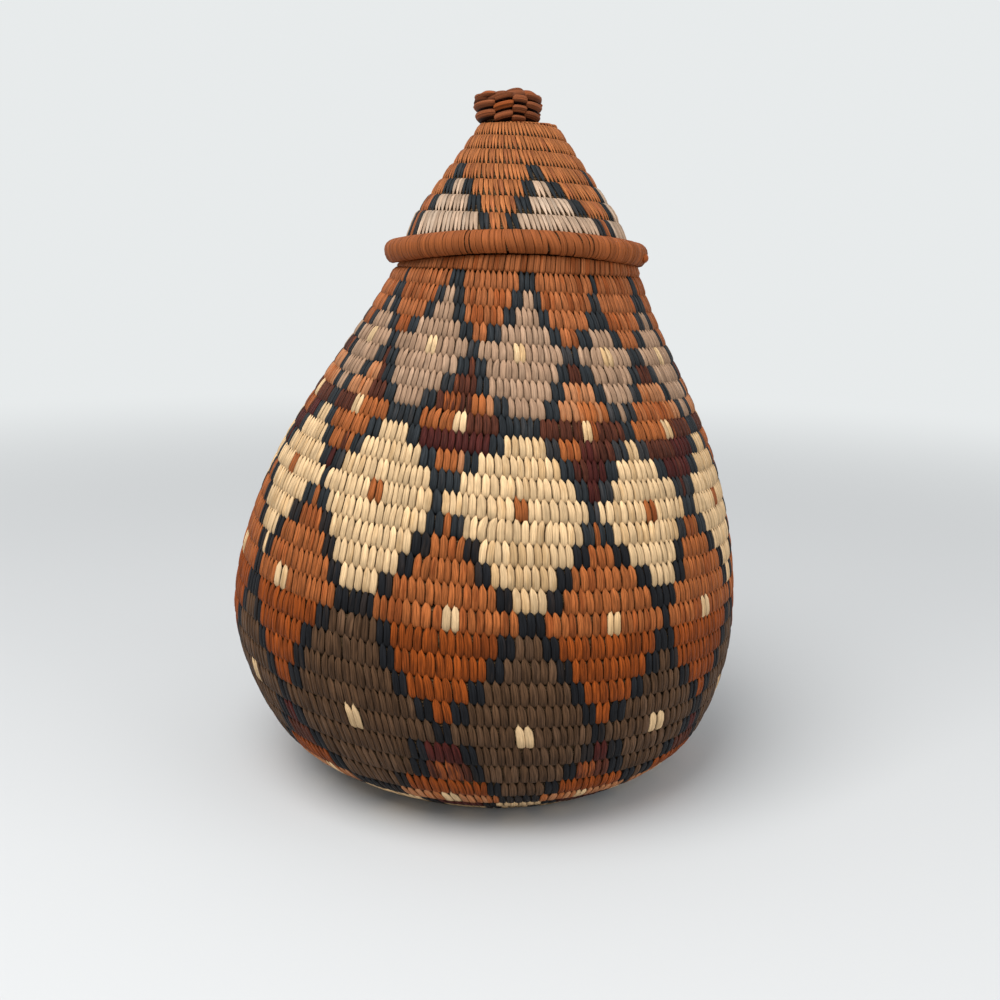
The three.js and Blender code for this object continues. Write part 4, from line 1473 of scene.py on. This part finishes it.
def make_floor(stage):
    """A wide round floor: a fan round its middle and then rings of growing radius, with quads between
    them. Far from the basket the camera sees the background's colour there, so no horizon shows."""
    angle, radius = circle(FLOOR_STEPS), np.array(FLOOR_RADII)[:, None]
    x, y = radius * np.sin(angle), radius * np.cos(angle)
    rings = np.stack([x, y, np.full(x.shape, FLOOR_LEVEL)], axis=-1).reshape(-1, 3)
    points = np.concatenate([[[0, 0, FLOOR_LEVEL]], rings])
    here = np.arange(FLOOR_STEPS)
    after = (here + 1) % FLOOR_STEPS
    faces = np.stack([0 * here, 1 + after, 1 + here], axis=-1).tolist()
    quads = np.stack([here, after, after + FLOOR_STEPS, here + FLOOR_STEPS], axis=-1)
    for ring in range(len(FLOOR_RADII) - 1):
        faces += (1 + ring * FLOOR_STEPS + quads).tolist()
    mesh = bpy.data.meshes.new("floor")
    mesh.from_pydata(points.tolist(), [], faces)
    floor = bpy.data.objects.new("floor", mesh)
    bpy.context.scene.collection.objects.link(floor)
    material = bpy.data.materials.new("Floor")
    material.use_nodes = True
    g = Graph(material.node_tree)
    shader = material.node_tree.nodes["Principled BSDF"]
    shader.inputs["Base Color"].default_value = (*stage.floor, 1)
    shader.inputs["Roughness"].default_value = 0.9
    shader.inputs["Specular IOR Level"].default_value = 0.1
    place = g.node("ShaderNodeTexCoord")
    far = g.node("ShaderNodeVectorMath", Vector=place.outputs["Object"])
    far.operation = "LENGTH"
    path = g.node("ShaderNodeLightPath")
    seen = g.times(g.ramp(far.outputs["Value"], *FLOOR_FADE), path.outputs["Is Camera Ray"])
    plain = g.node("ShaderNodeEmission", Color=BACKGROUND, Strength=1.0)
    g.blend_shaders(seen, shader, plain, material.node_tree.nodes["Material Output"])
    mesh.materials.append(material)


def make_world(scene, stage):
    """Even pale light from all round. The camera sees the background's colour, and so do mirrors."""
    world = bpy.data.worlds.new("studio")
    world.use_nodes = True
    scene.world = world
    g = Graph(world.node_tree)
    light = world.node_tree.nodes["Background"]
    light.inputs["Color"].default_value = (0.95, 0.97, 1.0, 1)
    light.inputs["Strength"].default_value = stage.sky
    plain = g.node("ShaderNodeBackground", Color=BACKGROUND, Strength=1.0)
    path = g.node("ShaderNodeLightPath")
    seen = g.math("MAXIMUM", path.outputs["Is Camera Ray"], path.outputs["Is Glossy Ray"])
    seen = g.math("MAXIMUM", seen, path.outputs["Is Transmission Ray"])
    g.blend_shaders(seen, light, plain, world.node_tree.nodes["World Output"])


def make_lamp(name, place, power):
    """A square area lamp that faces the middle of the basket."""
    data = bpy.data.lights.new(name, "AREA")
    data.size = LAMP_SIZE
    data.energy = power
    lamp = bpy.data.objects.new(name, data)
    back = Vector(place) - Vector(LAMP_TARGET)
    lamp.matrix_world = Matrix.Translation(place) @ back.to_track_quat("Z", "Y").to_matrix().to_4x4()
    bpy.context.scene.collection.objects.link(lamp)


STEPS = (
    BASKET_OT_stage, BASKET_OT_pot_coil, BASKET_OT_pot_stitches, BASKET_OT_lid_coil, BASKET_OT_lid_stitches,
    BASKET_OT_lid_rim, BASKET_OT_knob,
)


class BASKET_PT_panel(bpy.types.Panel):
    """Sizes, colours and the steps that make the basket"""

    bl_label = "Coiled basket"
    bl_idname = "BASKET_PT_panel"
    bl_space_type = "VIEW_3D"
    bl_region_type = "UI"
    bl_category = "Basket"

    def draw(self, context):
        for group in (context.scene.basket_sizes, context.scene.basket_colours, context.scene.basket_stage):
            box = self.layout.box()
            for name in group.__annotations__:
                box.prop(group, name)
        for step in STEPS:
            self.layout.operator(step.bl_idname)


GROUPS = (("basket_sizes", BasketSizes), ("basket_colours", BasketColours), ("basket_stage", BasketStage))
CLASSES = tuple(group for _, group in GROUPS) + STEPS + (BASKET_PT_panel,)


def register():
    for kind in CLASSES:
        bpy.utils.register_class(kind)
    for name, group in GROUPS:
        setattr(bpy.types.Scene, name, bpy.props.PointerProperty(type=group))


def unregister():
    for name, _ in GROUPS:
        delattr(bpy.types.Scene, name)
    for kind in reversed(CLASSES):
        bpy.utils.unregister_class(kind)


def main():
    register()
    bpy.ops.basket.stage()
    bpy.ops.basket.pot_coil()
    bpy.ops.basket.pot_stitches()
    bpy.ops.basket.lid_coil()
    bpy.ops.basket.lid_stitches()
    bpy.ops.basket.lid_rim()
    bpy.ops.basket.knob()
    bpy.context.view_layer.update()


if __name__ == "__main__":
    main()
